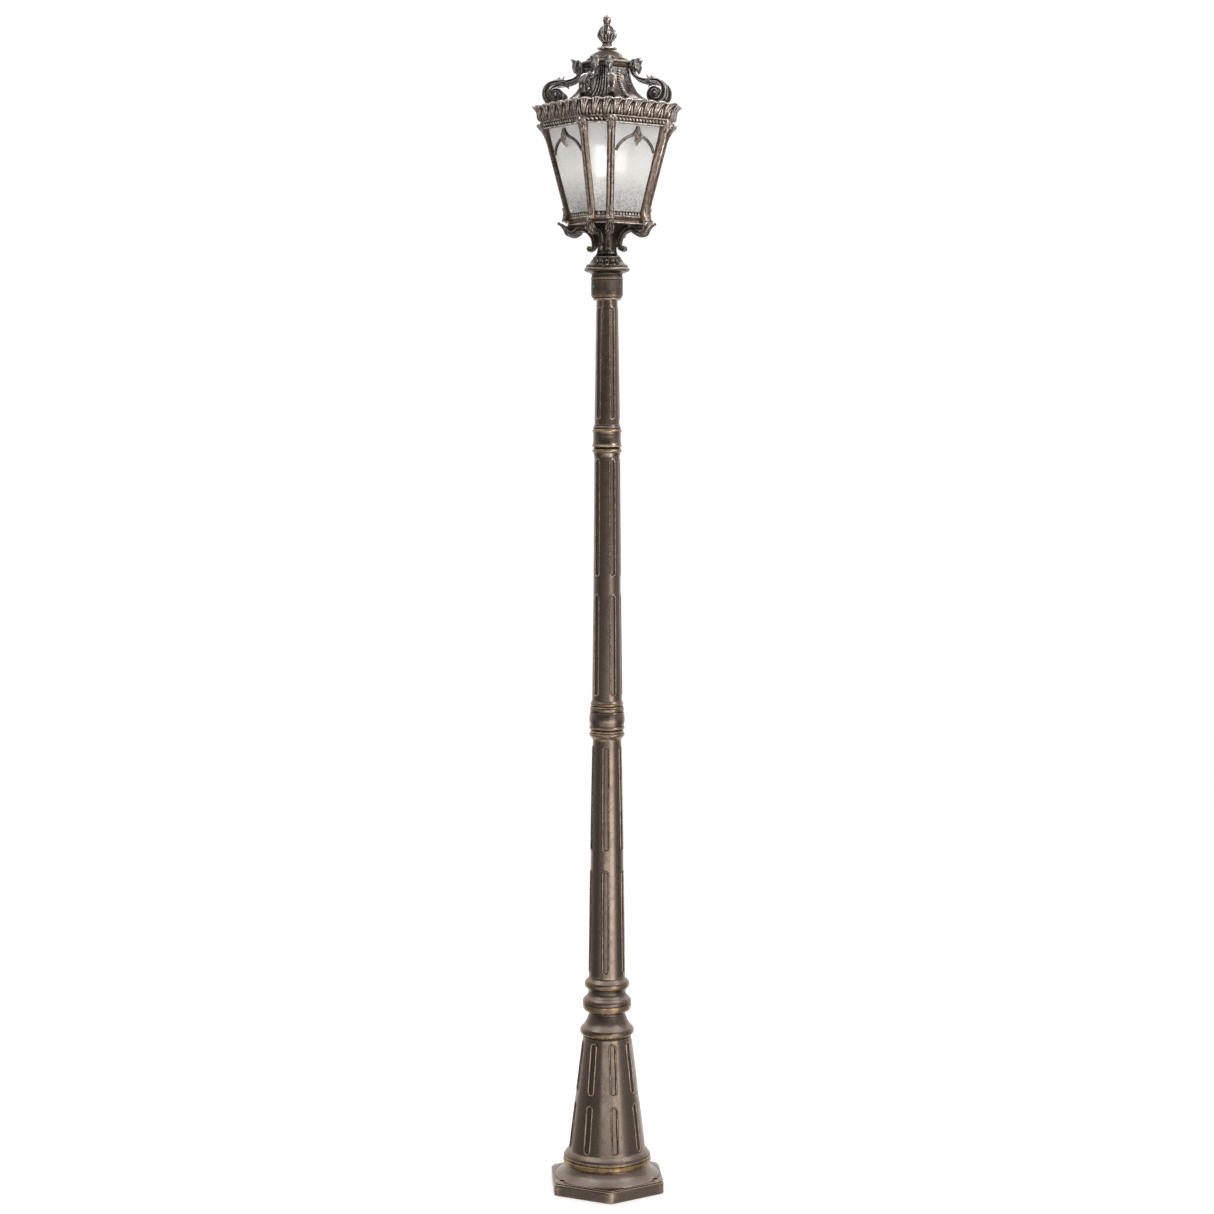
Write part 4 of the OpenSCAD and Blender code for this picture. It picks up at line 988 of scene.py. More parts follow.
def leaf(pc, path, width, tf, thick=2.0, crown=2.0, lobes=3.0, lobe_depth=0.2, ribs=2.5, rib_amp=0.6, n=44, m=17, y0=0.0,
         flip=1.0, gild=0.0):
    """Curled leaf following a path in the (out, up) plane, with a midrib, side ribs and a lobed edge."""
    p = resample(spline(path, 1.0), n)
    d = np.gradient(p, axis=0)
    d /= np.maximum(np.linalg.norm(d, axis=1, keepdims=True), 1e-9)
    nrm = np.stack([-d[:, 1], d[:, 0]], 1) * flip
    s = np.linspace(0, 1, n)
    ws = np.asarray(width, float)
    w = np.interp(s, np.linspace(0, 1, len(ws)), ws)
    u = np.linspace(-1, 1, m)
    lob = 1 - lobe_depth * (0.5 - 0.5 * np.cos(2 * pi * lobes * s)) * sstep(s, 0.02, 0.15)
    W = (w * lob)[:, None]
    # side veins slant towards the tip
    ph = 2 * pi * (ribs * np.abs(u)[None, :] + lobes * (s[:, None] - 0.12 * np.abs(u)[None, :]))
    vein = rib_amp * np.cos(2 * pi * ribs * np.abs(u))[None, :] * np.ones((n, 1)) * 0.6 + 0.4 * rib_amp * np.cos(ph)
    mid = 0.9 * bell(u, 0, 0.12)[None, :]
    H = -crown * (u ** 2)[None, :] + vein + mid
    edge = sstep(1 - np.abs(u), 0.0, 0.2)[None, :]
    T = thick * (0.35 + 0.65 * edge) * (0.45 + 0.55 * np.sin(pi * np.clip(s, 0.04, 0.93)))[:, None]
    Y = y0 + W * u[None, :]
    front = np.stack([p[:, 0][:, None] + nrm[:, 0][:, None] * H, Y, p[:, 1][:, None] + nrm[:, 1][:, None] * H], -1)
    back = np.stack([p[:, 0][:, None] + nrm[:, 0][:, None] * (H - T), Y, p[:, 1][:, None] + nrm[:, 1][:, None] * (H - T)], -1)
    P = np.concatenate([front, back[:, ::-1]], 1)
    mk = np.zeros(P.shape)
    # vein hollows get painted shade, ridges and the midrib get rubbed wear together with painted highlight
    groove = np.clip(-vein / max(rib_amp, 1e-3), 0, 1) * 0.55
    rise = np.clip(vein / max(rib_amp, 1e-3), 0, 1) * 0.35 + 0.4 * bell(u, 0, 0.15)[None, :]
    mk[:, :m, 1] = groove
    mk[:, :m, 2] = rise
    mk[:, :m, 0] = gild
    pc.loft(tf(P), closed=False, mask=mk)


def blob(pc, centre, size, tf, lobes=0, amp=0.0, n=18, m=28, mask=(0, 0, 0.25)):
    """Small cast boss: an uneven rounded body."""
    th = np.linspace(0.06, pi - 0.06, n)[:, None]
    ph = np.linspace(0, 2 * pi, m, endpoint=False)[None, :]
    r = 1 + amp * np.cos(lobes * ph) * np.sin(th)
    P = np.stack([centre[0] + size[0] * r * np.sin(th) * np.cos(ph), centre[1] + size[1] * r * np.sin(th) * np.sin(ph),
                  centre[2] + size[2] * np.cos(th) + 0 * ph], -1)
    # the default mask lightens the whole boss a little as wear together with painted highlight
    pc.loft(tf(P), closed=False, mask=np.broadcast_to(np.array(mask, float), P.shape))


# ---------------------------------------------------------------- cup and hub
def cup_relief(psi, z, r):
    """Oval leaves round the sloping face of the cup, with drops between them."""
    n = 18
    p = 360.0 / n
    d = (psi + p / 2) % p - p / 2
    x = np.radians(d) * r
    hw = np.radians(p) * r / 2
    zc, zh = 2476.0, 9.5
    e = np.sqrt((x / (hw * 0.72)) ** 2 + ((z - zc) / zh) ** 2)
    leaf_ = sstep(1.12 - e, 0.0, 0.35) * 1.7 - 0.7 * bell(x, 0, 0.9) * (e < 0.85)
    d2 = (psi) % p - p / 2
    x2 = np.radians(d2) * r
    drop = 1.3 * bell(np.hypot(x2 / 1.2, (z - 2467.5) / 1.0), 0, 1.6)
    on = sstep(z, 2463.5, 2465.5) * (1 - sstep(z, 2487, 2489))
    out = (leaf_ + drop) * on
    m = np.zeros(np.broadcast(psi, z).shape + (3,))
    # leaf outlines and midlines get painted shade, leaf crowns, drops and rims get wear together with painted highlight
    m[..., 1] = np.clip(0.7 * bell(e, 1.18, 0.16) * on + 0.4 * bell(x, 0, 0.9) * (e < 0.8) * on, 0, 1)
    m[..., 2] = np.clip(0.6 * bell(e, 0.75, 0.25) * on + 0.8 * bell(z, 2459.5, 2.2) + 0.6 * drop * on + 0.5 * bell(z, 2490.5, 1.5), 0, 1)
    m[..., 0] = 0.25 * bell(z, 2459, 3)
    return out, m


turned("neck_cup_cast",
       [(40.9, 2446), (41.6, 2447.6), (44.6, 2449.8), (50.5, 2451.8), (56.4, 2453.8), (59.2, 2456), (60.1, 2458.8),
        (59.4, 2461.6), (57.6, 2463.2), (55.4, 2464.6), (54.4, 2467.4), (51.8, 2470.6), (46.4, 2473.9), (42.4, 2477.4),
        (40.2, 2481.4), (38.2, 2485.6), (36.9, 2488.4), (37.3, 2490.2), (36.0, 2492), (33.2, 2493.6), (30.6, 2496),
        (28.4, 2498.6), (27.4, 2501)], 10, 432, cup_relief, step=0.7
       ).done(cap_mat, "lantern", ["neck_cup"], "lantern_bronze", wear_and_highlight_amt=0.6)


def hub_relief(psi, z, r):
    a = np.radians(psi)
    m = np.zeros(np.broadcast(psi, z).shape + (3,))
    out = 0.8 * np.cos(8 * (a - rad(corner_psi(0)))) * sstep(z, 2502, 2506) + 0.35 * wobble(psi * 0.2, z * 0.12, 2.0)
    # painted shade: the hub is darkened all over and more towards its top, under the tray
    m[..., 1] = 0.35 + 0.45 * sstep(z, 2526, 2550)
    m[..., 2] = 0.3 * bell((psi % 15) - 7.5, 0, 1.2) * bell(z, 2516, 6)
    return out, m


turned("neck_hub_cast", [(27.4, 2501), (26.9, 2503), (25.8, 2508), (26.2, 2518), (28.6, 2530), (33.2, 2542), (39.5, 2553), (47, 2562), (54, 2568), (58, 2571.8)], 10, 180,
       hub_relief, step=2.0).done(cap_mat, "lantern", ["neck_hub"], "lantern_bronze")

# ---------------------------------------------------------------- leg consoles
pc = Piece("leg_console_leaves")
for k in range(8):
    psi = corner_psi(k)
    tf = (lambda P, q=psi: radial(q, P))
    # arch: from the small scroll by the hub, up and over to the rolled leaf
    arch = resample(spline([(42.5, 2508.5), (37.6, 2514.5), (36.2, 2523), (37.0, 2534), (41.8, 2546.5), (51.0, 2557.4),
                            (63.0, 2563), (75.0, 2563.5), (84.0, 2560.5)], 1.0), 46)
    s = np.linspace(0, 1, 46)
    a, b = offset_edges(arch, np.interp(s, [0, 0.1, 0.5, 1], [2.6, 3.4, 4.6, 6.4]))
    strip(pc, a, b, np.interp(s, [0, 0.15, 0.6, 1], [5.2, 5.6, 6.4, 8.0]), tf, crown=1.1)
    # small scroll at the neck
    th = np.radians(np.linspace(215, 560, 40))
    rr = np.linspace(7.2, 2.4, 40)
    sp = np.stack([46.2 + rr * np.cos(th), 2514.0 + rr * np.sin(th)], 1)
    a, b = offset_edges(sp, np.linspace(2.4, 1.5, 40))
    strip(pc, a, b, 5.6, tf, crown=0.6, rims=False)
    blob(pc, (46.2, 0, 2514.0), (3.0, 6.6, 3.0), tf)
    # web under the tray that carries the leaf
    web_o = resample(np.array([(66, 2571.9), (88, 2571.9), (108, 2571.9)]), 14)
    web_i = resample(spline([(66, 2561), (76, 2554.5), (88, 2549.5), (98, 2549), (107, 2554)], 1.0), 14)
    strip(pc, web_o, web_i, 7.0, tf, crown=0.0, rims=False)
    # rolled acanthus: belly below the tray, tip hooked outwards at the post
    leaf(pc, [(70, 2560), (72.4, 2553.2), (79, 2548.6), (87, 2545.4), (95, 2544.6), (102.6, 2546.4), (108.8, 2551.4),
              (112.6, 2558.2), (115.8, 2565.6), (119.6, 2570.6), (124.6, 2573.6), (128.4, 2575.6), (129.2, 2578.4),
              (127.2, 2580.6), (124.2, 2579.8)],
         [6.5, 9.2, 10.4, 10.8, 10.8, 10.6, 10.6, 10.8, 10.2, 7.2, 3.2], tf, thick=4.2, crown=3.4, lobes=4.0, lobe_depth=0.2,
         ribs=2.0, rib_amp=1.0, n=72, m=23, flip=-1.0)
    for sd in (-1, 1):
        leaf(pc, [(84, 2562), (90, 2557.4), (97, 2555.4), (103.6, 2558), (107.6, 2563.6), (109.4, 2569)],
             [2.0, 4.2, 4.8, 4.4, 2.0], tf, thick=2.2, crown=1.0, lobes=2.5, lobe_depth=0.25, ribs=1.5, rib_amp=0.6,
             n=30, m=11, y0=sd * 7.4, flip=-1.0)
    # small leaf folded over the arch where it meets the belly
    leaf(pc, [(58, 2564), (66, 2563.5), (73, 2559), (77.5, 2552.5)], [3.0, 5.6, 6.0, 3.0], tf, thick=2.4, crown=1.5,
         lobes=2.0, lobe_depth=0.2, ribs=1.5, rib_amp=0.5, n=26, m=13, flip=-1.0)
    # leaf on the outside of the arch near the small scroll
    leaf(pc, [(33.2, 2542), (31.4, 2530), (32.4, 2518), (36.2, 2509.5)], [3.0, 5.6, 5.0, 2.2], tf, thick=2.2, crown=1.5,
         lobes=2.5, lobe_depth=0.2, ribs=1.5, rib_amp=0.5, n=26, m=13)
pc.done(cap_mat, "lantern", ["leg_consoles"], "lantern_bronze", wear_and_highlight_amt=0.9)

# ---------------------------------------------------------------- tray with its leaf frieze
pc = Piece("tray_casting")
tray_prof = [(40, 2577.2), (40, 2572.4), (60, 2572.2), (98.0, 2572.2), (102.4, 2572.2), (103.8, 2572.8), (104.4, 2574.0),
             (104.3, 2575.4), (103.2, 2576.6), (102.2, 2577.8), (101.9, 2580), (102.0, 2583), (102.4, 2586), (103.0, 2588.2),
             (103.4, 2589.9), (98.0, 2589.95), (97.8, 2584), (97.6, 2577.4), (60, 2577.2)]


def tray_relief(wide, s, half, R, z, i):
    on = sstep(z, 2577.5, 2579.5) * (R > 101)
    o = 0.25 * wobble(s * 0.25, z * 0.4, 1.0) * on
    # the tray's underside and the crease get painted shade, the rounded lip gets painted highlight
    return o, 0.0, mask3(s.shape, 0.0, np.where((z < 2573) & (R > 90), 0.7, 0.0) + 0.55 * bell(z, 2577.8, 1.0) * (R > 100),
                         0.5 * bell(z, 2575, 1.2) * (R > 103))


ring8(pc, tray_prof, tray_relief, 48, 20)
# plain floor of the tray, with a hole for the supply wires
n = 96
psi = np.arange(n) * 360.0 / n
corner_r = 44.0
fl = []
for r, z in [(10.2, 2572.2), (30, 2572.1), (corner_r, 2572.1), (corner_r + 2, 2573.5), (corner_r + 1.0, 2576.8), (30, 2577.3), (10.2, 2577.3)]:
    fl.append(ring_pts(np.full(n, r), psi, np.full(n, z)))
# the tray floor is darkened evenly: painted shade
pc.loft(np.array(fl), closed=True, mask=np.zeros((7, n, 3)) + np.array([0, 0.5, 0]))
pc.done(lant_mat, "lantern", ["tray"], "lantern_bronze")

pc = Piece("tray_frieze")
band_prof = [(91, 2605.9), (91, 2590.1), (100, 2590.1), (103.2, 2590.2), (104.2, 2590.8), (104.4, 2591.8), (103.8, 2593.2),
             (102.6, 2594.0), (102.0, 2595.0), (101.9, 2596.0), (101.9, 2597.2), (101.9, 2598.4), (101.9, 2599.6), (101.9, 2600.8),
             (101.9, 2602.0), (102.1, 2603.0), (103.2, 2603.8), (103.6, 2604.8), (103.0, 2605.8), (99, 2605.95)]


def frieze_relief(wide, s, half, R, z, i):
    """Row of small leaves standing side by side, a zigzag from a distance."""
    n = 11 if wide else 4
    p = 2 * half / n
    t = ((s + half) / p) % 1.0 - 0.5
    on = sstep(z, 2594.6, 2595.6) * (1 - sstep(z, 2602.4, 2603.4)) * (R > 100)
    h = np.clip((z - 2595) / 8.0, 0, 1)
    w = 0.46 * (1 - h ** 1.5) + 0.05
    lf = sstep(w - np.abs(t), 0.0, 0.12)
    o = on * (1.9 * lf - 0.7 * bell(t, 0, 0.05) * lf)
    g = on * (1 - lf) * 0.9
    # gaps between the leaves get painted shade, leaf sides and rims get painted highlight
    return o, 0.0, mask3(s.shape, 0.0, g + 0.5 * bell(z, 2594.2, 0.7) * (R > 101), on * lf * 0.75 * bell(np.abs(t), 0.2, 0.16) +
                         0.35 * bell(z, 2592, 1.0) * (R > 103) + 0.5 * bell(z, 2604.8, 0.9) * (R > 102))


ring8(pc, band_prof, frieze_relief, 176, 72)
pc.done(lant_mat, "lantern", ["tray_band"], "lantern_bronze")

# ---------------------------------------------------------------- corner posts
post_rows = np.array([[2583, 120, 11], [2587.5, 118, 10.8], [2592, 115.6, 10.5], [2597, 113.6, 10.2], [2603, 112.6, 10], [2608, 112.4, 10],
                      [2616, 114.4, 10], [2660, 126, 10], [2780, 157.2, 10], [2788, 159.4, 10], [2796, 161.8, 10],
                      [2805, 164.6, 10.5], [2812, 168, 11], [2818, 173, 11.5], [2821.9, 176, 12]])


def post_loop(k, z, rb, ro, hw):
    """Section of a post: V back that fits the panes, two round ribs with a channel on the front."""
    nl, nr = (WH, NH) if k % 2 == 0 else (NH, WH)
    bl = (-hw * math.tan(rad(nl)), -hw)
    br = (-hw * math.tan(rad(nr)), hw)
    y = np.array([-0.98, -0.90, -0.76, -0.6, -0.42, -0.26, -0.14, 0.0, 0.14, 0.26, 0.42, 0.6, 0.76, 0.90, 0.98]) * hw
    a = np.abs(y) / hw
    x = ro - 0.2 - 3.2 * sstep(a, 0.62, 1.02) - 2.1 * bell(a, 0, 0.17) - 0.5 * sstep(a, 0.3, 0.7)
    side_l = [(rb + bl[0] + (x[0] - rb - bl[0]) * t, -hw * (1 - 0.07 * math.sin(pi * t))) for t in (0.25, 0.5, 0.75)]
    side_r = [(rb + br[0] + (x[-1] - rb - br[0]) * t, hw * (1 - 0.07 * math.sin(pi * t))) for t in (0.75, 0.5, 0.25)]
    pts = [(rb, 0.0), (rb + bl[0], bl[1])] + side_l + list(zip(x, y)) + side_r + [(rb + br[0], br[1])]
    return np.array([[p[0], p[1], z] for p in pts])


zz = np.concatenate([np.linspace(2583.2, 2612, 16), np.linspace(2618, 2776, 46), np.linspace(2779, 2821.7, 22)])
for k in range(8):
    pc = Piece("corner_post_%d_fluted" % (k + 1))
    loops = []
    for z in zz:
        ro = np.interp(z, post_rows[:, 0], post_rows[:, 1])
        hw = np.interp(z, post_rows[:, 0], post_rows[:, 2])
        L = post_loop(k, z, glass_R(max(z, 2608)) + 0.15, ro, hw)
        L[5:20, 0] += 0.22 * wobble(L[5:20, 1] * 0.5, z * 0.11, k + 1.0)
        loops.append(L)
    loops = np.array(loops)
    m = np.zeros(loops.shape)
    y = np.abs(loops[:, 5:20, 1]) / 10.0
    # the centre channel and the post sides get painted shade, the rib crowns get painted highlight
    m[:, 5:20, 1] = 0.85 * bell(y, 0, 0.16)
    m[:, 5:20, 2] = 0.45 * bell(y, 0.45, 0.2)
    m[:, 5:20, 0] = 0.22 * bell(y, 0.6, 0.3)
    m[:, [2, 3, 4, 20, 21, 22], 1] = 0.35
    pc.loft(radial(corner_psi(k), loops), closed=False, mask=m)
    tf = (lambda P, q=corner_psi(k): radial(q, P))
    # leaf that grows from the foot of the post
    leaf(pc, [(117.6, 2586), (115.4, 2594), (114.4, 2602), (115.2, 2610), (117.6, 2618)], [7.5, 9.0, 7.5, 5.0, 1.6], tf, thick=2.4,
         crown=1.6, lobes=2.5, lobe_depth=0.22, ribs=2.0, rib_amp=0.7, n=34, m=15, flip=-1.0)
    pc.done(lant_mat, "lantern", ["corner_post_%d" % (k + 1)], "lantern_bronze", wear_and_highlight_amt=0.75)

pc = Piece("post_capital_leaves")
for k in range(8):
    psi = corner_psi(k)
    tf = (lambda P, q=psi: radial(q, P))
    blk = []
    for z, ro, hw in [(2822.1, 176.4, 11.6), (2825, 177.6, 12.2), (2829, 178.4, 12.4), (2833, 178.0, 12.2), (2836, 177, 12.0), (2838.8, 176.4, 11.6)]:
        blk.append(post_loop(k, z, 174.2, ro, hw))
    blk = np.array(blk)
    # a flat light mark of dirt with painted shade and of wear with painted highlight
    pc.loft(radial(psi, blk), closed=False, mask=np.zeros(blk.shape) + np.array([0, 0.15, 0.2]))
    leaf(pc, [(161.5, 2797), (164.6, 2804.4), (168.6, 2811.6), (173.4, 2818.4), (178.6, 2824.2), (182.2, 2827.8), (183.6, 2831),
              (182.4, 2833.6), (179.8, 2833.2)],
         [2.5, 6.5, 9.0, 10.6, 11.6, 11.4, 9.0, 4.5], tf, thick=3.2, crown=3.0, lobes=3.0, lobe_depth=0.22, ribs=2.0,
         rib_amp=0.9, n=54, m=21, flip=-1.0)
    for sd in (-1, 1):
        leaf(pc, [(171.5, 2816), (175, 2822), (178.6, 2827.6), (180.2, 2832), (178.6, 2834.4)], [2.0, 4.0, 4.2, 3.2, 1.2], tf,
             thick=2.2, crown=1.0, lobes=2.0, lobe_depth=0.2, ribs=1.5, rib_amp=0.5, n=28, m=11, y0=sd * 8.6, flip=-1.0)
pc.done(lant_mat, "lantern", ["post_capitals"], "lantern_bronze")

# ---------------------------------------------------------------- tracery
pc = Piece("tracery_arch_bars")
half_arch = resample(spline([(-60.2, -25), (-56.4, -17), (-50.5, -8.2), (-43.5, -1.0), (-35, 5.6), (-25.5, 10.8), (-16, 15.4),
                             (-8.4, 21.5), (-3.2, 29.5), (0.0, 38.5)], 1.0), 64)
for i in range(4):
    q = wide_psi(i)
    for sd in (-1, 1):
        path = half_arch * np.array([sd, 1.0])
        s = np.linspace(0, 1, len(path))
        hwid = np.interp(s, [0, 0.2, 0.8, 1], [3.9, 4.0, 3.9, 3.6])
        d = np.gradient(path, axis=0)
        d /= np.linalg.norm(d, axis=1, keepdims=True)
        nr = np.stack([-d[:, 1], d[:, 0]], 1)
        f = np.array([-1.0, -0.97, -0.8, -0.55, -0.28, 0.0, 0.28, 0.55, 0.8, 0.97, 1.0])
        h = np.array([0.3, 2.6, 4.1, 4.5, 3.5, 2.7, 3.5, 4.5, 4.1, 2.6, 0.3])
        a = path[:, None, :] + nr[:, None, :] * (f[None, :] * hwid[:, None])[..., None]
        P = np.concatenate([a, np.broadcast_to(h[None, :, None], a.shape[:2] + (1,))], 2)
        m = np.zeros(P.shape)
        # bar edges and the centre groove get painted shade, the rib tops get painted highlight
        m[..., 1] = np.clip(0.35 + 0.4 * bell(f, 0, 0.14) + 0.65 * sstep(np.abs(f), 0.66, 0.85), 0, 1)
        m[..., 2] = 0.6 * bell(np.abs(f), 0.45, 0.16)
        pc.loft(on_face(q, WH, 2780, P), closed=False, mask=m)
    tf = (lambda P, q=q: on_face(q, WH, 2780, np.stack([P[..., 1], P[..., 2], P[..., 0]], -1)))
    # drop under the point of the arch: a middle leaf, two side lobes and a bud
    leaf(pc, [(2.4, 37), (5.2, 28), (6.4, 16), (6.0, 6), (4.0, -4)], [3.0, 6.0, 8.4, 7.4, 4.6], tf, thick=4.0, crown=2.6, lobes=2.5,
         lobe_depth=0.16, ribs=2.0, rib_amp=0.7, n=44, m=19, flip=-1.0)
    for sd in (-1, 1):
        leaf(pc, [(3.0, 26), (5.4, 19), (6.2, 11), (5.2, 4.5), (2.8, 1.2)], [2.0, 4.8, 5.8, 4.8, 2.0], tf, thick=3.0, crown=2.0,
             lobes=2.0, lobe_depth=0.2, ribs=1.5, rib_amp=0.5, n=30, m=13, y0=sd * 7.4, flip=-1.0)
    blob(pc, (3.6, 0, -5.5), (3.0, 5.0, 5.8), tf, 5, 0.08)
pc.done(lant_mat, "lantern", ["tracery_arches"], "lantern_bronze")

# ---------------------------------------------------------------- top frame with its bead moulding
pc = Piece("top_frame_moulding")
tf_prof = [(150, 2841.9), (150, 2822.1), (160, 2822.1), (171.5, 2822.1), (173.8, 2822.5), (174.1, 2823.8), (173.4, 2825.0), (172.2, 2825.8),
           (171.9, 2827.2), (172.0, 2828.6), (172.2, 2830), (172.4, 2831.4), (172.6, 2832.8), (172.8, 2834.2), (173.0, 2835.6), (173.2, 2836.8),
           (173.9, 2837.8), (174.4, 2839.2), (174.2, 2840.8), (173.4, 2841.8), (165, 2841.9)]


def bead_relief(wide, s, half, R, z, i):
    """Slanting beads, like a cord laid along the moulding."""
    n = 17 if wide else 7
    p = 2 * half / n
    zr = (z - 2831.6)
    t = ((s + half + 0.55 * zr) / p) % 1.0 - 0.5
    on = sstep(z, 2825.6, 2827.0) * (1 - sstep(z, 2836.2, 2837.4)) * (R > 170)
    e = np.hypot(t / 0.40, zr / 4.9)
    b = sstep(1.08 - e, 0.0, 0.75)
    # gaps between the beads get painted shade, bead tops and the rounded rims get painted highlight
    return on * 2.6 * b, 0.0, mask3(s.shape, 0.35 * on * b, on * (1 - sstep(1.15 - e, 0, 0.3)) * 0.85, on * 0.7 * sstep(0.6 - e, 0, 0.5) +
                                    0.45 * bell(z, 2839.6, 1.2) * (R > 173) + 0.35 * bell(z, 2823.4, 1.0) * (R > 173))


ring8(pc, tf_prof, bead_relief, 220, 90)
pc.done(lant_mat, "lantern", ["top_frame"], "lantern_bronze")

# ---------------------------------------------------------------- leaf gallery
pc = Piece("leaf_gallery_scalloped")
gal_out = resample(spline([(176.6, 2842.2), (178.6, 2843.4), (181.2, 2846.4), (182.8, 2850.6), (183.8, 2855.8), (184.8, 2861.4),
                           (186.2, 2866.6), (188.6, 2871.0), (191.8, 2874.6), (195.0, 2877.2), (197.4, 2879.0)], 1.0), 40)
lip = resample(spline([(197.4, 2879.0), (197.8, 2880.4), (197.0, 2881.8), (195.2, 2882.4), (192.6, 2882.0), (189.6, 2880.2)], 0.5), 12)[1:]
gal_in = resample(spline([(189.6, 2880.2), (186.4, 2876.4), (183.2, 2871.6), (181.0, 2866.6), (179.6, 2861), (178.4, 2854.8), (176.2, 2850),
                          (172, 2847.4), (166, 2847.0), (161.2, 2846.9), (161.0, 2842.2), (168, 2842.1)], 1.5), 30)[1:]
gal_prof = np.vstack([gal_out, lip, gal_in])
n_out, n_lip = len(gal_out), len(lip)


def gallery_relief(wide, s, half, R, z, i):
    """Upright leaves: crowned between deep joints, slanting side veins, tips curling over as scallops."""
    n = 6 if wide else 3
    p = 2 * half / n
    t = ((s + half) / p) % 1.0 - 0.5
    a = np.abs(t) * 2
    outer = i < n_out
    onlip = (i >= n_out) & (i < n_out + n_lip)
    inner = i >= n_out + n_lip
    hz = np.clip((z - 2842.2) / 40.0, 0, 1)
    grow = 0.25 + 0.75 * sstep(hz, 0.0, 0.55)
    slant = ((s + half - 10.0 * (hz - 0.5) + 3.0 * np.sin(3.1 * hz)) / p) % 1.0 - 0.5
    b_ = np.abs(slant) * 2
    crown = 3.1 * (1 - b_ ** 1.6) - 0.5 * bell(b_, 1.0, 0.12)
    mid = 0.7 * bell(slant, 0, 0.04) - 0.5 * bell(np.abs(slant), 0.10, 0.04)
    vein = 0.9 * np.cos(2 * pi * (np.abs(slant) * 3.2 - hz * 0.9)) * sstep(b_, 0.10, 0.30) * (1 - sstep(b_, 0.84, 0.98))
    t, a = slant, b_
    o = np.where(outer, grow * (crown - 1.2 + mid) + vein * (0.5 + 0.5 * grow), 0.0)
    # the lip: leaf tips stand out a little, the joints between them fall back
    tip = 1 - a ** 2
    lipw = np.where(outer, sstep(hz, 0.72, 1.0), np.where(onlip, 1.0, sstep(z, 2872, 2880) * (R > 183)))
    cornerk = sstep(half - np.abs(s), 0, 6.0)
    o = np.where(outer, o * (1 - 0.8 * lipw), o)
    o = o + lipw * (-2.4 + 3.0 * tip) * (0.25 + 0.75 * cornerk)
    up = lipw * (-2.6 + 4.0 * tip)
    # painted shade in the joints, vein hollows, the lower leaves and the inside face; painted highlight on the veins,
    # brighter towards the top, and on the curled lip
    g = np.where(outer, np.clip(0.7 * bell(a, 1.0, 0.12) + np.clip(-vein, 0, 1) * 0.8 + 0.25 * (1 - sstep(hz, 0, 0.25)), 0, 1),
                 np.where(inner, 0.55, 0.0))
    w = np.where(outer, np.clip(np.clip(vein, 0, 1) * 1.1 + 0.5 * bell(t, 0, 0.06), 0, 1) * (0.5 + 0.5 * hz), np.where(onlip, 0.75 + 0.25 * tip, 0.0))
    return o, up, mask3(s.shape, np.where(outer, 0.18 * (1 - a) * (1 - hz), 0.0), g, w)


ring8(pc, gal_prof, gallery_relief, 216, 90)
pc.done(lant_mat, "lantern", ["leaf_gallery"], "lantern_bronze", wear_and_highlight_amt=0.7, dirt_and_shade_amt=0.8)


# ---------------------------------------------------------------- roof
roof_out = [(157.8, 2842.2), (158, 2852), (158, 2866), (156, 2871.5), (150, 2876.6), (137, 2884.3), (123, 2890.5), (110, 2896.5),
            (99.5, 2903), (89, 2911.5), (81, 2920), (72.5, 2932), (66, 2945), (62, 2960), (60, 2979.9)]
ro_s = resample(spline(roof_out, 1.0), 110)
d = np.gradient(ro_s, axis=0)
d /= np.linalg.norm(d, axis=1, keepdims=True)
ri_s = (ro_s + np.stack([-d[:, 1], d[:, 0]], 1) * 4.0)[2:-2][::-1][::3]
ri_s = np.vstack([[(56, 2976.2)], ri_s, [(153.9, 2842.2)]])
roof_prof = np.vstack([ro_s, [(40, 2979.9), (10.4, 2979.9), (10.4, 2976.2), (40, 2976.2)], ri_s])
n_ro = len(ro_s)


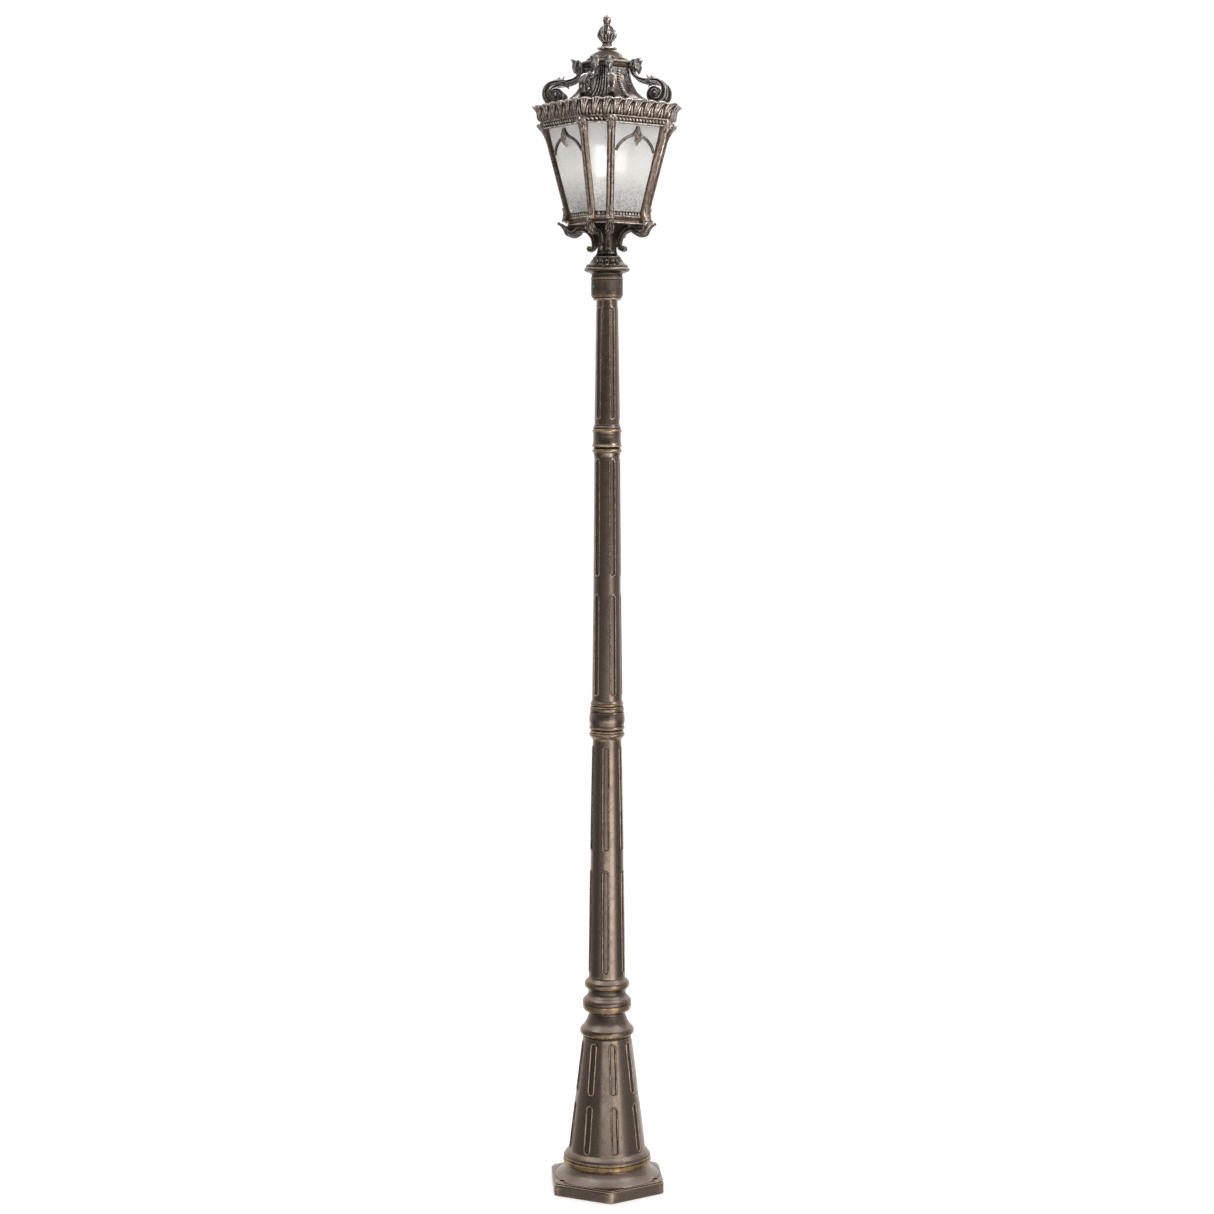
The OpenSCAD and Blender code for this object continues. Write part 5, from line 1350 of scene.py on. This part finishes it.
def roof_relief(wide, s, half, R, z, i):
    outer = (i < n_ro) & (z > 2869)
    e = half - np.abs(s)
    if wide:
        # two raised lines beside each hip, a sunk field, a stippled head under the cap
        lines = 1.5 * bell(e, 5.2, 1.3) + 1.1 * bell(e, 9.6, 1.0) + 0.9 * bell(e, 13.6, 0.9)
        field = -0.9 * sstep(e, 14.5, 16.5)
        head = sstep(z, 2962.5, 2964.0) * (1 - sstep(z, 2976.5, 2978))
        bar = 1.2 * bell(z, 2963.4, 1.1) * sstep(e, 3, 5)
        stip = 0.55 * np.sin(s * 2.1) * np.sin(z * 2.1 + 1.1 * np.round(s / 3.0)) * head * sstep(e, 4, 6)
        o = (lines + field) * (1 - head) + bar + stip
        # gaps between the raised lines and the hip get painted shade, the raised lines and the bar get painted
        # highlight
        g = 0.75 * bell(e, 7.4, 0.9) + 0.65 * bell(e, 11.6, 0.8) + 0.6 * bell(e, 15.6, 1.1) + 0.8 * bell(e, 1.0, 1.8)
        g = g * (1 - head) + 0.45 * head * (stip < 0) + 0.6 * bell(z, 2965.4, 0.9)
        w = 0.5 * bell(e, 5.2, 1.0) + 0.35 * bell(e, 9.6, 0.8) + 0.4 * np.clip(stip * 2, 0, 1) + 0.5 * bell(z, 2963.2, 0.9)
    else:
        t = s / np.maximum(half, 1e-6)
        fl = np.cos(2 * pi * t * 2.5)
        o = 1.2 * fl * sstep(1 - np.abs(t), 0.04, 0.2) * (1 - sstep(z, 2970, 2974))
        g = 0.75 * np.clip(-fl, 0, 1) + 0.7 * sstep(np.abs(t), 0.84, 1.0)
        w = 0.3 * np.clip(fl, 0, 1)
    o = np.where(outer, o, 0.0)
    dz = 0.0 * o
    k = np.where(outer, 1.0, 0.0)
    # the fascia behind the gallery and the inside of the roof get a flat dark mark: painted shade
    return o, dz, mask3(s.shape, 0.12 * k, np.clip(g, 0, 1) * k + (1 - k) * 0.4, np.clip(w, 0, 1) * k)


pc = Piece("roof_casting")
ring8(pc, roof_prof, roof_relief, 168, 66)
pc.done(roof_mat, "roof", ["roof_shell"], "lantern_bronze", wear_and_highlight_amt=0.4, dirt_and_shade_amt=0.8)

# corded rib down the middle of each wide panel
pc = Piece("roof_corded_ribs")
ap = math.cos(rad(WH))
line = resample(spline([(r * ap, z) for r, z in roof_out[5:]][:-1] + [(60.1 * ap, 2977.5)], 1.0), 230)
d = np.gradient(line, axis=0)
d /= np.linalg.norm(d, axis=1, keepdims=True)
nr = -np.stack([-d[:, 1], d[:, 0]], 1)
if nr[0, 1] < 0 and nr[0, 0] < 0:
    nr = -nr
L = np.concatenate([[0], np.cumsum(np.linalg.norm(np.diff(line, axis=0), axis=1))])
th = np.linspace(0, 2 * pi, 26, endpoint=False)
for i in range(4):
    tw = 2 * pi * L / 7.2
    lobe = 1 + 0.17 * np.cos(th[None, :] * 2 - tw[:, None] * 1.0) + 0.05 * np.cos(2 * (th[None, :] * 2 - tw[:, None]))
    end = np.clip(np.minimum(L, L[-1] - L) / 3.0, 0.25, 1)[:, None]
    rr = 3.3 * lobe * end
    P = np.stack([line[:, 0][:, None] + nr[:, 0][:, None] * (0.9 + rr * np.sin(th)[None, :]),
                  1.5 * rr * np.cos(th)[None, :],
                  line[:, 1][:, None] + nr[:, 1][:, None] * (0.9 + rr * np.sin(th)[None, :])], -1)
    m = np.zeros(P.shape)
    # twist grooves get painted shade, the lobes get painted highlight
    m[..., 1] = np.clip((0.95 - lobe) * 6.0, 0, 0.95)
    m[..., 2] = np.clip((lobe - 0.97) * 7.0, 0, 1.0)
    pc.loft(radial(wide_psi(i), P), closed=False, mask=m)
pc.done(roof_mat, "roof", ["rope_ribs"], "lantern_bronze", wear_and_highlight_amt=0.8, dirt_and_shade_amt=0.6)

# ---------------------------------------------------------------- hip scrolls
CX, CZ = 135.6, 2912.2
phi = np.linspace(0, 640, 190)
rho_o = np.interp(phi, [0, 45, 90, 135, 180, 225, 270, 315, 360, 405, 450, 495, 540, 585, 640],
                  [37.6, 35.6, 33.8, 31.8, 29.4, 25.2, 21.2, 18.4, 16.4, 15.0, 13.6, 12.2, 10.6, 9.2, 7.8])
k5 = np.ones(15) / 15.0
rho_o = np.convolve(np.pad(rho_o, 7, mode="edge"), k5, "same")[7:-7]
nxt = np.interp(phi + 360, phi, rho_o, right=6.0) + 2.4
rho_i = np.maximum(nxt, 3.6)
rho_i = np.where(phi < 120, np.interp(phi, [0, 30, 60, 90, 120], [27.4, 24.6, 20.6, 17.6, rho_i[np.searchsorted(phi, 120)]]), rho_i)
rho_i = np.convolve(np.pad(rho_i, 7, mode="edge"), k5, "same")[7:-7]
rho_i = np.minimum(rho_i, rho_o - 2.2)
ang = np.radians(90 - phi)
vo = np.stack([CX + rho_o * np.cos(ang), CZ + rho_o * np.sin(ang)], 1)
vi = np.stack([CX + rho_i * np.cos(ang), CZ + rho_i * np.sin(ang)], 1)
# stem from the hook at the cap down the hip into the first turn
stem = resample(spline([(83.5, 2995.2), (80.2, 2998.2), (75.6, 2998.6), (71.6, 2995.4), (70.0, 2988.5), (69.8, 2979), (71.4, 2969.4),
                        (76.6, 2960.6), (85.4, 2953.4), (96.5, 2948.4), (109, 2945.6), (122, 2945.0), (CX, 2944.7)], 1.0), 96)
sh = np.interp(np.linspace(0, 1, 96), [0, 0.12, 0.35, 0.6, 0.85, 1.0], [2.8, 3.2, 3.6, 4.2, 4.6, 5.1])
ea, eb = offset_edges(stem, sh)
so, si = (ea, eb)
outer = np.vstack([so[:-1], vo])
inner = np.vstack([si[:-1], vi])
hw = np.concatenate([np.interp(np.linspace(0, 1, 95), [0, 0.25, 0.6, 1.0], [5.6, 6.2, 7.2, 8.4]), np.interp(phi, [0, 270, 640], [8.6, 8.2, 7.0])])

pc = Piece("hip_scroll_castings")
for k in range(8):
    psi = corner_psi(k)
    tf = (lambda P, q=psi: radial(q, P))
    strip(pc, outer, inner, hw, tf, crown=1.3, groove=0.45)
    blob(pc, (CX, 0, CZ), (6.2, 8.6, 6.2), tf, 4, 0.05)
    # calyx at the head: a hanging ribbed bell with hooked lips
    zz_ = np.array([2967.6, 2968.6, 2971, 2975, 2980, 2985, 2990, 2994, 2997.4, 3000.2, 3001.8])
    cr = np.array([84.0, 84.0, 84.0, 84.0, 83.8, 83.4, 83.0, 82.8, 83.4, 85.0, 87.4])
    ax = np.array([1.4, 2.8, 4.0, 5.0, 5.6, 5.8, 6.2, 7.0, 7.8, 7.4, 5.8])
    ay = np.array([1.2, 2.6, 4.4, 6.2, 8.0, 9.4, 10.6, 11.6, 12.2, 12.0, 9.6])
    zf = np.linspace(2967.6, 3001.8, 46)
    t = np.linspace(0, 2 * pi, 48, endpoint=False)[None, :]
    rb = 1 + 0.05 * np.cos(4 * t) + 0.04 * np.cos(12 * t)
    P = np.stack([np.interp(zf, zz_, cr)[:, None] + np.interp(zf, zz_, ax)[:, None] * rb * np.cos(t),
                  np.interp(zf, zz_, ay)[:, None] * rb * np.sin(t), zf[:, None] + 0 * t], -1)
    m = np.zeros(P.shape)
    # rib hollows get painted shade, rib crowns get painted highlight
    m[..., 1] = np.clip(-np.cos(12 * t), 0, 1) * 0.35
    m[..., 2] = np.clip(np.cos(4 * t), 0, 1) ** 3 * 0.7
    pc.loft(tf(P), closed=False, mask=m)
    # lips: outward hook, two side tips, one back towards the cap
    leaf(pc, [(81.5, 2990), (86.6, 2995), (90.2, 2999.4), (93.2, 3001.2), (95.0, 3003.2)], [5.0, 6.4, 5.2, 3.2, 1.2], tf, thick=2.6, crown=1.4,
         lobes=2.0, lobe_depth=0.2, ribs=1.5, rib_amp=0.5, n=28, m=13, flip=-1.0)
    leaf(pc, [(89.0, 2976), (90.6, 2984), (89.8, 2992), (91.8, 2997.6)], [2.0, 4.4, 4.6, 1.4], tf, thick=2.4, crown=1.4,
         lobes=2.0, lobe_depth=0.2, ribs=1.5, rib_amp=0.5, n=26, m=11, flip=-1.0)
    for sd in (-1, 1):
        leaf(pc, [(80.5, 2988), (84.5, 2995.5), (86.4, 3000.5), (88.6, 3002.6)], [2.0, 4.2, 3.6, 1.0], tf, thick=2.2, crown=1.0,
             lobes=2.0, lobe_depth=0.25, ribs=1.5, rib_amp=0.5, n=24, m=11, y0=sd * 6.2, flip=-1.0)
        leaf(pc, [(84.5, 2969), (87.2, 2975), (88.6, 2983), (88.4, 2990)], [1.6, 3.6, 3.8, 1.4], tf, thick=2.0, crown=1.0,
             lobes=2.0, lobe_depth=0.2, ribs=1.0, rib_amp=0.5, n=24, m=9, y0=sd * 4.6, flip=-1.0)
    # leaf laid over the hook
    leaf(pc, [(69.4, 2976), (67.8, 2986), (69.6, 2996), (75.0, 3001.4), (81.0, 3001.2)], [3.0, 6.4, 7.2, 7.0, 3.4], tf, thick=2.6, crown=1.4,
         lobes=2.5, lobe_depth=0.2, ribs=2.0, rib_amp=0.6, n=34, m=15)
    # collar of small leaves where stem and scroll meet
    leaf(pc, [(131, 2950.6), (124, 2951.8), (117.4, 2953.0), (113.2, 2956.8), (112.8, 2959.2)], [3.0, 6.4, 7.0, 4.6, 1.2], tf, thick=2.2,
         crown=1.2, lobes=2.0, lobe_depth=0.2, ribs=1.5, rib_amp=0.5, n=28, m=13, flip=-1.0)
    leaf(pc, [(138, 2951.2), (131, 2952.4), (126, 2954.6), (123.4, 2957.4)], [2.5, 5.6, 5.0, 1.2], tf, thick=2.2, crown=1.2,
         lobes=2.0, lobe_depth=0.2, ribs=1.5, rib_amp=0.5, n=26, m=11, flip=-1.0)
    leaf(pc, [(124, 2940.6), (117, 2939.8), (111.4, 2937.4), (109.4, 2933.8)], [3.0, 5.4, 4.6, 1.2], tf, thick=2.2, crown=1.2,
         lobes=2.0, lobe_depth=0.2, ribs=1.5, rib_amp=0.5, n=26, m=11)
    for sd in (-1, 1):
        leaf(pc, [(127, 2946), (119.5, 2946.6), (113.4, 2946.4), (109.2, 2948.8)], [2.0, 4.2, 3.8, 1.2], tf, thick=2.0, crown=0.8,
             lobes=2.0, lobe_depth=0.25, ribs=1.0, rib_amp=0.4, n=22, m=9, y0=sd * 7.2, flip=-1.0)
pc.done(roof_mat, "roof", ["hip_scrolls"], "lantern_bronze", wear_and_highlight_amt=0.7)

# ---------------------------------------------------------------- roof cap
pc = Piece("roof_cap_casting")
cap_prof = [(30, 2980.1), (56, 2980.1), (61.4, 2980.1), (62.6, 2981.2), (63.6, 2983.4), (64.4, 2985.8), (64.7, 2988), (64.4, 2989.6),
            (64.6, 2990.6), (65.8, 2991.8), (66.0, 2994.4), (65.6, 2996.6), (64.4, 2998.2), (62.4, 2999.2), (57, 2999.7), (50, 3000.0),
            (30, 3000.0), (30, 2990)]


def cap_relief(wide, s, half, R, z, i):
    e = half - np.abs(s)
    o = 0.3 * wobble(s * 0.2, z * 0.3, 3.0) * (R > 60)
    # the underside and the crease get painted shade, the upper rounded edge and the corners get painted highlight
    return o, 0.0, mask3(s.shape, 0.2 * (R > 60), 0.8 * bell(z, 2989.7, 0.8) * (R > 62) + 0.5 * (z < 2982) * (R > 50),
                         0.75 * bell(z, 2996.5, 2.4) * (R > 62) + 0.6 * bell(e, 0, 3.0) * (R > 62) * (z > 2983))


ring8(pc, cap_prof, cap_relief, 60, 26)
dome = spline([(54.6, 2998.6), (54.9, 3000.6), (54.2, 3002.8), (51.4, 3006.4), (47.6, 3010.6), (44.2, 3014.6), (40.2, 3018.8), (35.4, 3022.6),
               (31, 3025.2), (27.6, 3026.9), (22, 3027.4), (14, 3027.5), (8, 3027.5), (5.4, 3027.4)], 1.0)
inn = spline([(5.4, 3021), (20, 3019), (32, 3013), (42, 3004), (48, 2994), (49, 2990)], 3.0)
prof = np.vstack([dome, inn])
psi = np.arange(240) * 1.5
R = np.repeat(prof[:, :1], 240, 1)
Z = np.repeat(prof[:, 1:], 240, 1)
m = np.zeros(R.shape + (3,))
# the crease under the dome lip gets painted shade, the dome's foot a painted highlight
m[..., 1] = 0.8 * bell(Z, 3000.4, 1.2) * (R > 50)
m[..., 2] = 0.25 * bell(Z, 3004, 2.0) * (R > 48)
pc.loft(ring_pts(R, psi[None, :], Z), closed=True, mask=m)
pc.done(cap_mat, "roof", ["roof_cap"], "lantern_bronze", wear_and_highlight_amt=0.8)


# ---------------------------------------------------------------- finial
def finial_relief(psi, z, r):
    """Gadroons on the lower bulb, pointed leaves folded over the upper half."""
    n = 8
    p = 360.0 / n
    t = ((psi + 9.0) / p) % 1.0 - 0.5
    t2 = ((psi + 9.0) / p + 0.5) % 1.0 - 0.5
    low = sstep(z, 3047.5, 3051) * (1 - sstep(z, 3064, 3069))
    up = sstep(z, 3060, 3064) * (1 - sstep(z, 3090, 3094))
    scale = np.clip(r / 22.0, 0.3, 1.2)
    o = low * 1.5 * (np.cos(2 * pi * t * 2) * 0.5 + 0.1) * scale
    h = np.clip((z - 3061) / 30.0, 0, 1)
    w = 0.47 * np.sqrt(np.clip(1 - h, 0, 1)) * np.clip(0.35 + 3 * h, 0, 1)
    lf = sstep(w - np.abs(t), -0.02, 0.09)
    vein = bell(t, 0, 0.045)
    ribs = np.cos(2 * pi * (np.abs(t) * 6.0 + h * 2.4))
    lf2 = sstep(0.30 * np.clip(1.1 - h, 0, 1) - np.abs(t2), -0.02, 0.08)
    o = o + up * scale * (2.0 * lf * (0.75 + 0.2 * ribs) + 0.5 * vein * lf + 1.0 * lf2 * (1 - lf) - 0.8)
    ball = bell(z, 3105.2, 1.0)
    o = o - 0.8 * bell(z, 3110.6, 0.9) + 0.25 * ball
    edge = bell(w - np.abs(t), 0.0, 0.05)
    m = np.zeros(np.broadcast(psi, z).shape + (3,))
    # leaf edges, gaps and creases get painted shade, veins, gadroon crowns, the foot rim and the top of the ball get
    # painted highlight
    m[..., 0] = np.clip(0.9 * bell(z, 3031.6, 3.2) + 0.25 * up * lf, 0, 1)
    m[..., 1] = np.clip(up * (0.9 * edge + 0.6 * (1 - lf) + 0.35 * np.clip(-ribs, 0, 1) * lf) + low * np.clip(-np.cos(4 * pi * t), 0, 1) * 0.8
                        + 0.8 * bell(z, 3045.8, 1.6) + 0.8 * bell(z, 3096, 1.8) + 0.7 * bell(z, 3110.6, 0.9), 0, 1)
    m[..., 2] = np.clip(up * (0.8 * vein + 0.5 * np.clip(ribs, 0, 1) * lf) + low * np.clip(np.cos(4 * pi * t), 0, 1) * 0.5
                        + 0.6 * bell(z, 3033, 1.6) + 0.5 * bell(z, 3115, 4), 0, 1)
    return o, m


pc = Piece("finial_casting")
fo = spline([(24.2, 3029.5), (26.0, 3030.4), (26.4, 3032.2), (25.9, 3034.2), (23.6, 3036.6), (20.0, 3039.4), (16.6, 3041.9), (13.8, 3044.1),
             (12.9, 3046.0), (13.9, 3048.2), (16.0, 3051.2), (18.9, 3054.8), (22.0, 3059.2), (24.2, 3064), (24.6, 3068), (23.6, 3073.4),
             (20.8, 3079.4), (17.0, 3085), (13.0, 3089.6), (9.6, 3093), (8.5, 3095.8), (9.0, 3098.2), (10.2, 3101.4), (10.9, 3105.2),
             (10.5, 3109), (9.1, 3113.2), (6.7, 3116.8), (3.6, 3119.2), (1.2, 3119.9)], 0.7)
bo = np.array([(1.0, 3058.6), (2.6, 3059.0), (4.5, 3058), (4.5, 3050), (4.5, 3040), (4.5, 3029.5)])
cols = 240
psi = np.arange(cols) * 1.5
prof = np.vstack([fo, bo])
R = np.repeat(prof[:, :1], cols, 1)
Z = np.repeat(prof[:, 1:], cols, 1)
m = np.zeros(R.shape + (3,))
kf = len(fo)
o, mm = finial_relief(psi[None, :], Z[:kf], R[:kf])
R[:kf] += o
m[:kf] = mm
R[kf - 1:kf + 1] = np.minimum(R[kf - 1:kf + 1], 1.2)
pc.loft(ring_pts(R, psi[None, :], Z), closed=True, mask=m)
pc.done(finial_mat, "finial", ["finial"], "gilt", wear_and_highlight=(80, 420))

# ---------------------------------------------------------------- fitter with its ring, drilled for the grub screws
rods = []
for k in range(3):
    a = ring_pts(30.0, 60 + 120 * k, 2414.0)
    b = ring_pts(60.0, 60 + 120 * k, 2414.0)
    rods.append((tuple(a), tuple(b), 4.0))


def fitter_relief(psi, z, r):
    o = 0.16 * wobble(psi * 0.11, z * 0.13, 1.0) + 0.08 * wobble(psi * 0.6, z * 0.5, 4.0)
    m = np.zeros(np.broadcast(psi, z).shape + (3,))
    # groove rings get painted shade, the raised rings get painted highlight
    m[..., 1] = 0.85 * bell(z, 2430.4, 1.1) + 0.8 * bell(z, 2443, 2.4) + 0.3 * bell(z, 2393, 2)
    m[..., 2] = 0.6 * bell(z, 2435, 1.8) + 0.4 * bell(z, 2392, 1.2)
    m[..., 0] = 0.35 * bell(z, 2435, 2.2) + 0.2 * bell(z, 2396, 5)
    return o, m


turned("fitter_ferrule", [(41.2, 2391.2), (41.6, 2392.4), (41.6, 2400), (41.6, 2427), (41.4, 2429.4), (40.8, 2430.6), (41.4, 2431.8),
                          (42.5, 2433.4), (42.7, 2435.4), (42.1, 2437.4), (40.9, 2438.8), (40.2, 2441), (40.0, 2443.4), (40.3, 2445.9)],
       38.1, 240, fitter_relief, step=1.0).done(fitter_mat, "lantern", ["fitter"], "lantern_bronze", cut=rods)

# ---------------------------------------------------------------- lamps
def at_candle(i, P):
    P = np.asarray(P, float)
    a = rad(wide_psi(i))
    cx, cy = 46 * math.sin(a), -46 * math.cos(a)
    return np.stack([P[..., 0] + cx, P[..., 1] + cy, P[..., 2]], -1)


def turn_local(prof, cols, fn=None):
    prof = np.asarray(prof, float)
    a = np.linspace(0, 2 * pi, cols, endpoint=False)[None, :]
    R = np.repeat(prof[:, :1], cols, 1)
    Z = np.repeat(prof[:, 1:], cols, 1)
    if fn is not None:
        R, Z = fn(a, R, Z)
    return np.stack([R * np.cos(a), R * np.sin(a), Z], -1)


pc = Piece("candle_sleeves_waxed")
for i in range(4):
    def drip(a, R, Z, i=i):
        """Runs of wax down from the rim."""
        ph = a * 3 + i * 1.9
        run = np.clip(np.sin(ph) * 0.6 + np.sin(2.3 * ph + 1.0 + i) * 0.5, 0, 1)
        reach = 10 + 26 * run
        k = sstep(Z, 2712 - reach, 2712 - reach * 0.45) * (R > 10.2)
        tip = bell(Z, 2712 - reach * 0.95, 2.6) * (R > 10.2) * run
        return R + 0.55 * k * run + 0.8 * tip, Z
    o = [(10.4, 2644.4), (10.9, 2645)] + [(10.95, z) for z in np.linspace(2647, 2710, 44)] + [(10.8, 2711.4), (10.3, 2712)]
    b = [(9.8, 2711.8), (9.7, 2710), (9.7, 2680), (9.7, 2646), (9.9, 2644.4)]
    pc.loft(at_candle(i, turn_local(o + b, 60, drip)), closed=True)
pc.done(candle_mat, "lantern", ["candle_sleeves"], "candle")

pc = Piece("candle_cups_spun")
for i in range(4):
    def petal(a, R, Z):
        return R * (1 + 0.045 * np.cos(8 * a) * sstep(R, 10, 15)), Z + 0.5 * np.cos(8 * a) * sstep(R, 12, 16)
    prof = [(1.2, 2640.1), (5, 2640.1), (8, 2640.2), (10.6, 2640.8), (13.2, 2642.2), (15.2, 2644.4), (15.9, 2646.2), (15.2, 2646.9), (14.2, 2646),
            (12.6, 2644.2), (10, 2643.2), (5, 2643), (1.2, 2643)]
    pc.loft(at_candle(i, turn_local(prof, 64, petal)), closed=True)
pc.done(gilt_mat, "lantern", ["candle_cups"], "gilt")

for i in range(4):
    pc = Piece("bulb_%d_flame" % (i + 1))
    prof = spline([(0.6, 2693.1), (3, 2693.4), (6.2, 2695.4), (6.7, 2698), (6.7, 2711), (8.2, 2713.6), (11.8, 2718.4), (15.0, 2725), (16.8, 2733),
                   (16.7, 2741), (14.8, 2751.6), (11.4, 2763), (7.8, 2773.6), (4.4, 2782.6), (1.9, 2788.2), (0.4, 2789.8)], 2.2)
    P = at_candle(i, turn_local(prof, 56))
    pc.loft(P, closed=False)
    pc.done(bulb_mat, "bulb_%d" % (i + 1), ["bulb_%d" % (i + 1)], "lamp_glass")


def CAD_KEEP():
    paint(steel_mat, "pedestal_coupling", "lower_coupling", "upper_coupling", "post_top_tenon", "grub_screws", "threaded_rod")
    paint(seal_mat, "finial_washer")
    paint(fitter_mat, "fitter")
    paint(gilt_mat, "lamp_stem", "lamp_cluster", "candle_cups", "finial")
    paint(candle_mat, "candle_sleeves")
    paint(holder_mat, "lampholders")
    paint(bulb_mat, "bulb_1", "bulb_2", "bulb_3", "bulb_4")
    paint(lant_mat, "neck_cup", "neck_hub", "leg_consoles", "tray", "tray_band", "post_capitals", "tracery_arches",
          "top_frame", "leaf_gallery", "roof_shell", "rope_ribs", "hip_scrolls", "roof_cap",
          *["corner_post_%d" % i for i in range(1, 9)])
    paint(glass_mat, *["wide_pane_%d" % i for i in range(1, 5)], *["narrow_pane_%d" % i for i in range(1, 5)])


# ---------------------------------------------------------------- CAD nodes that stay in view
def paint(mat, *names):
    for n in names:
        ob = NODES.get(n) if isinstance(NODES, dict) else None
        ob = ob if ob is not None and hasattr(ob, "data") else bpy.data.objects.get(n)
        if ob is None:
            continue
        for i in range(max(1, len(ob.data.materials))):
            if i < len(ob.data.materials):
                ob.data.materials[i] = mat
            else:
                ob.data.materials.append(mat)


CAD_KEEP()
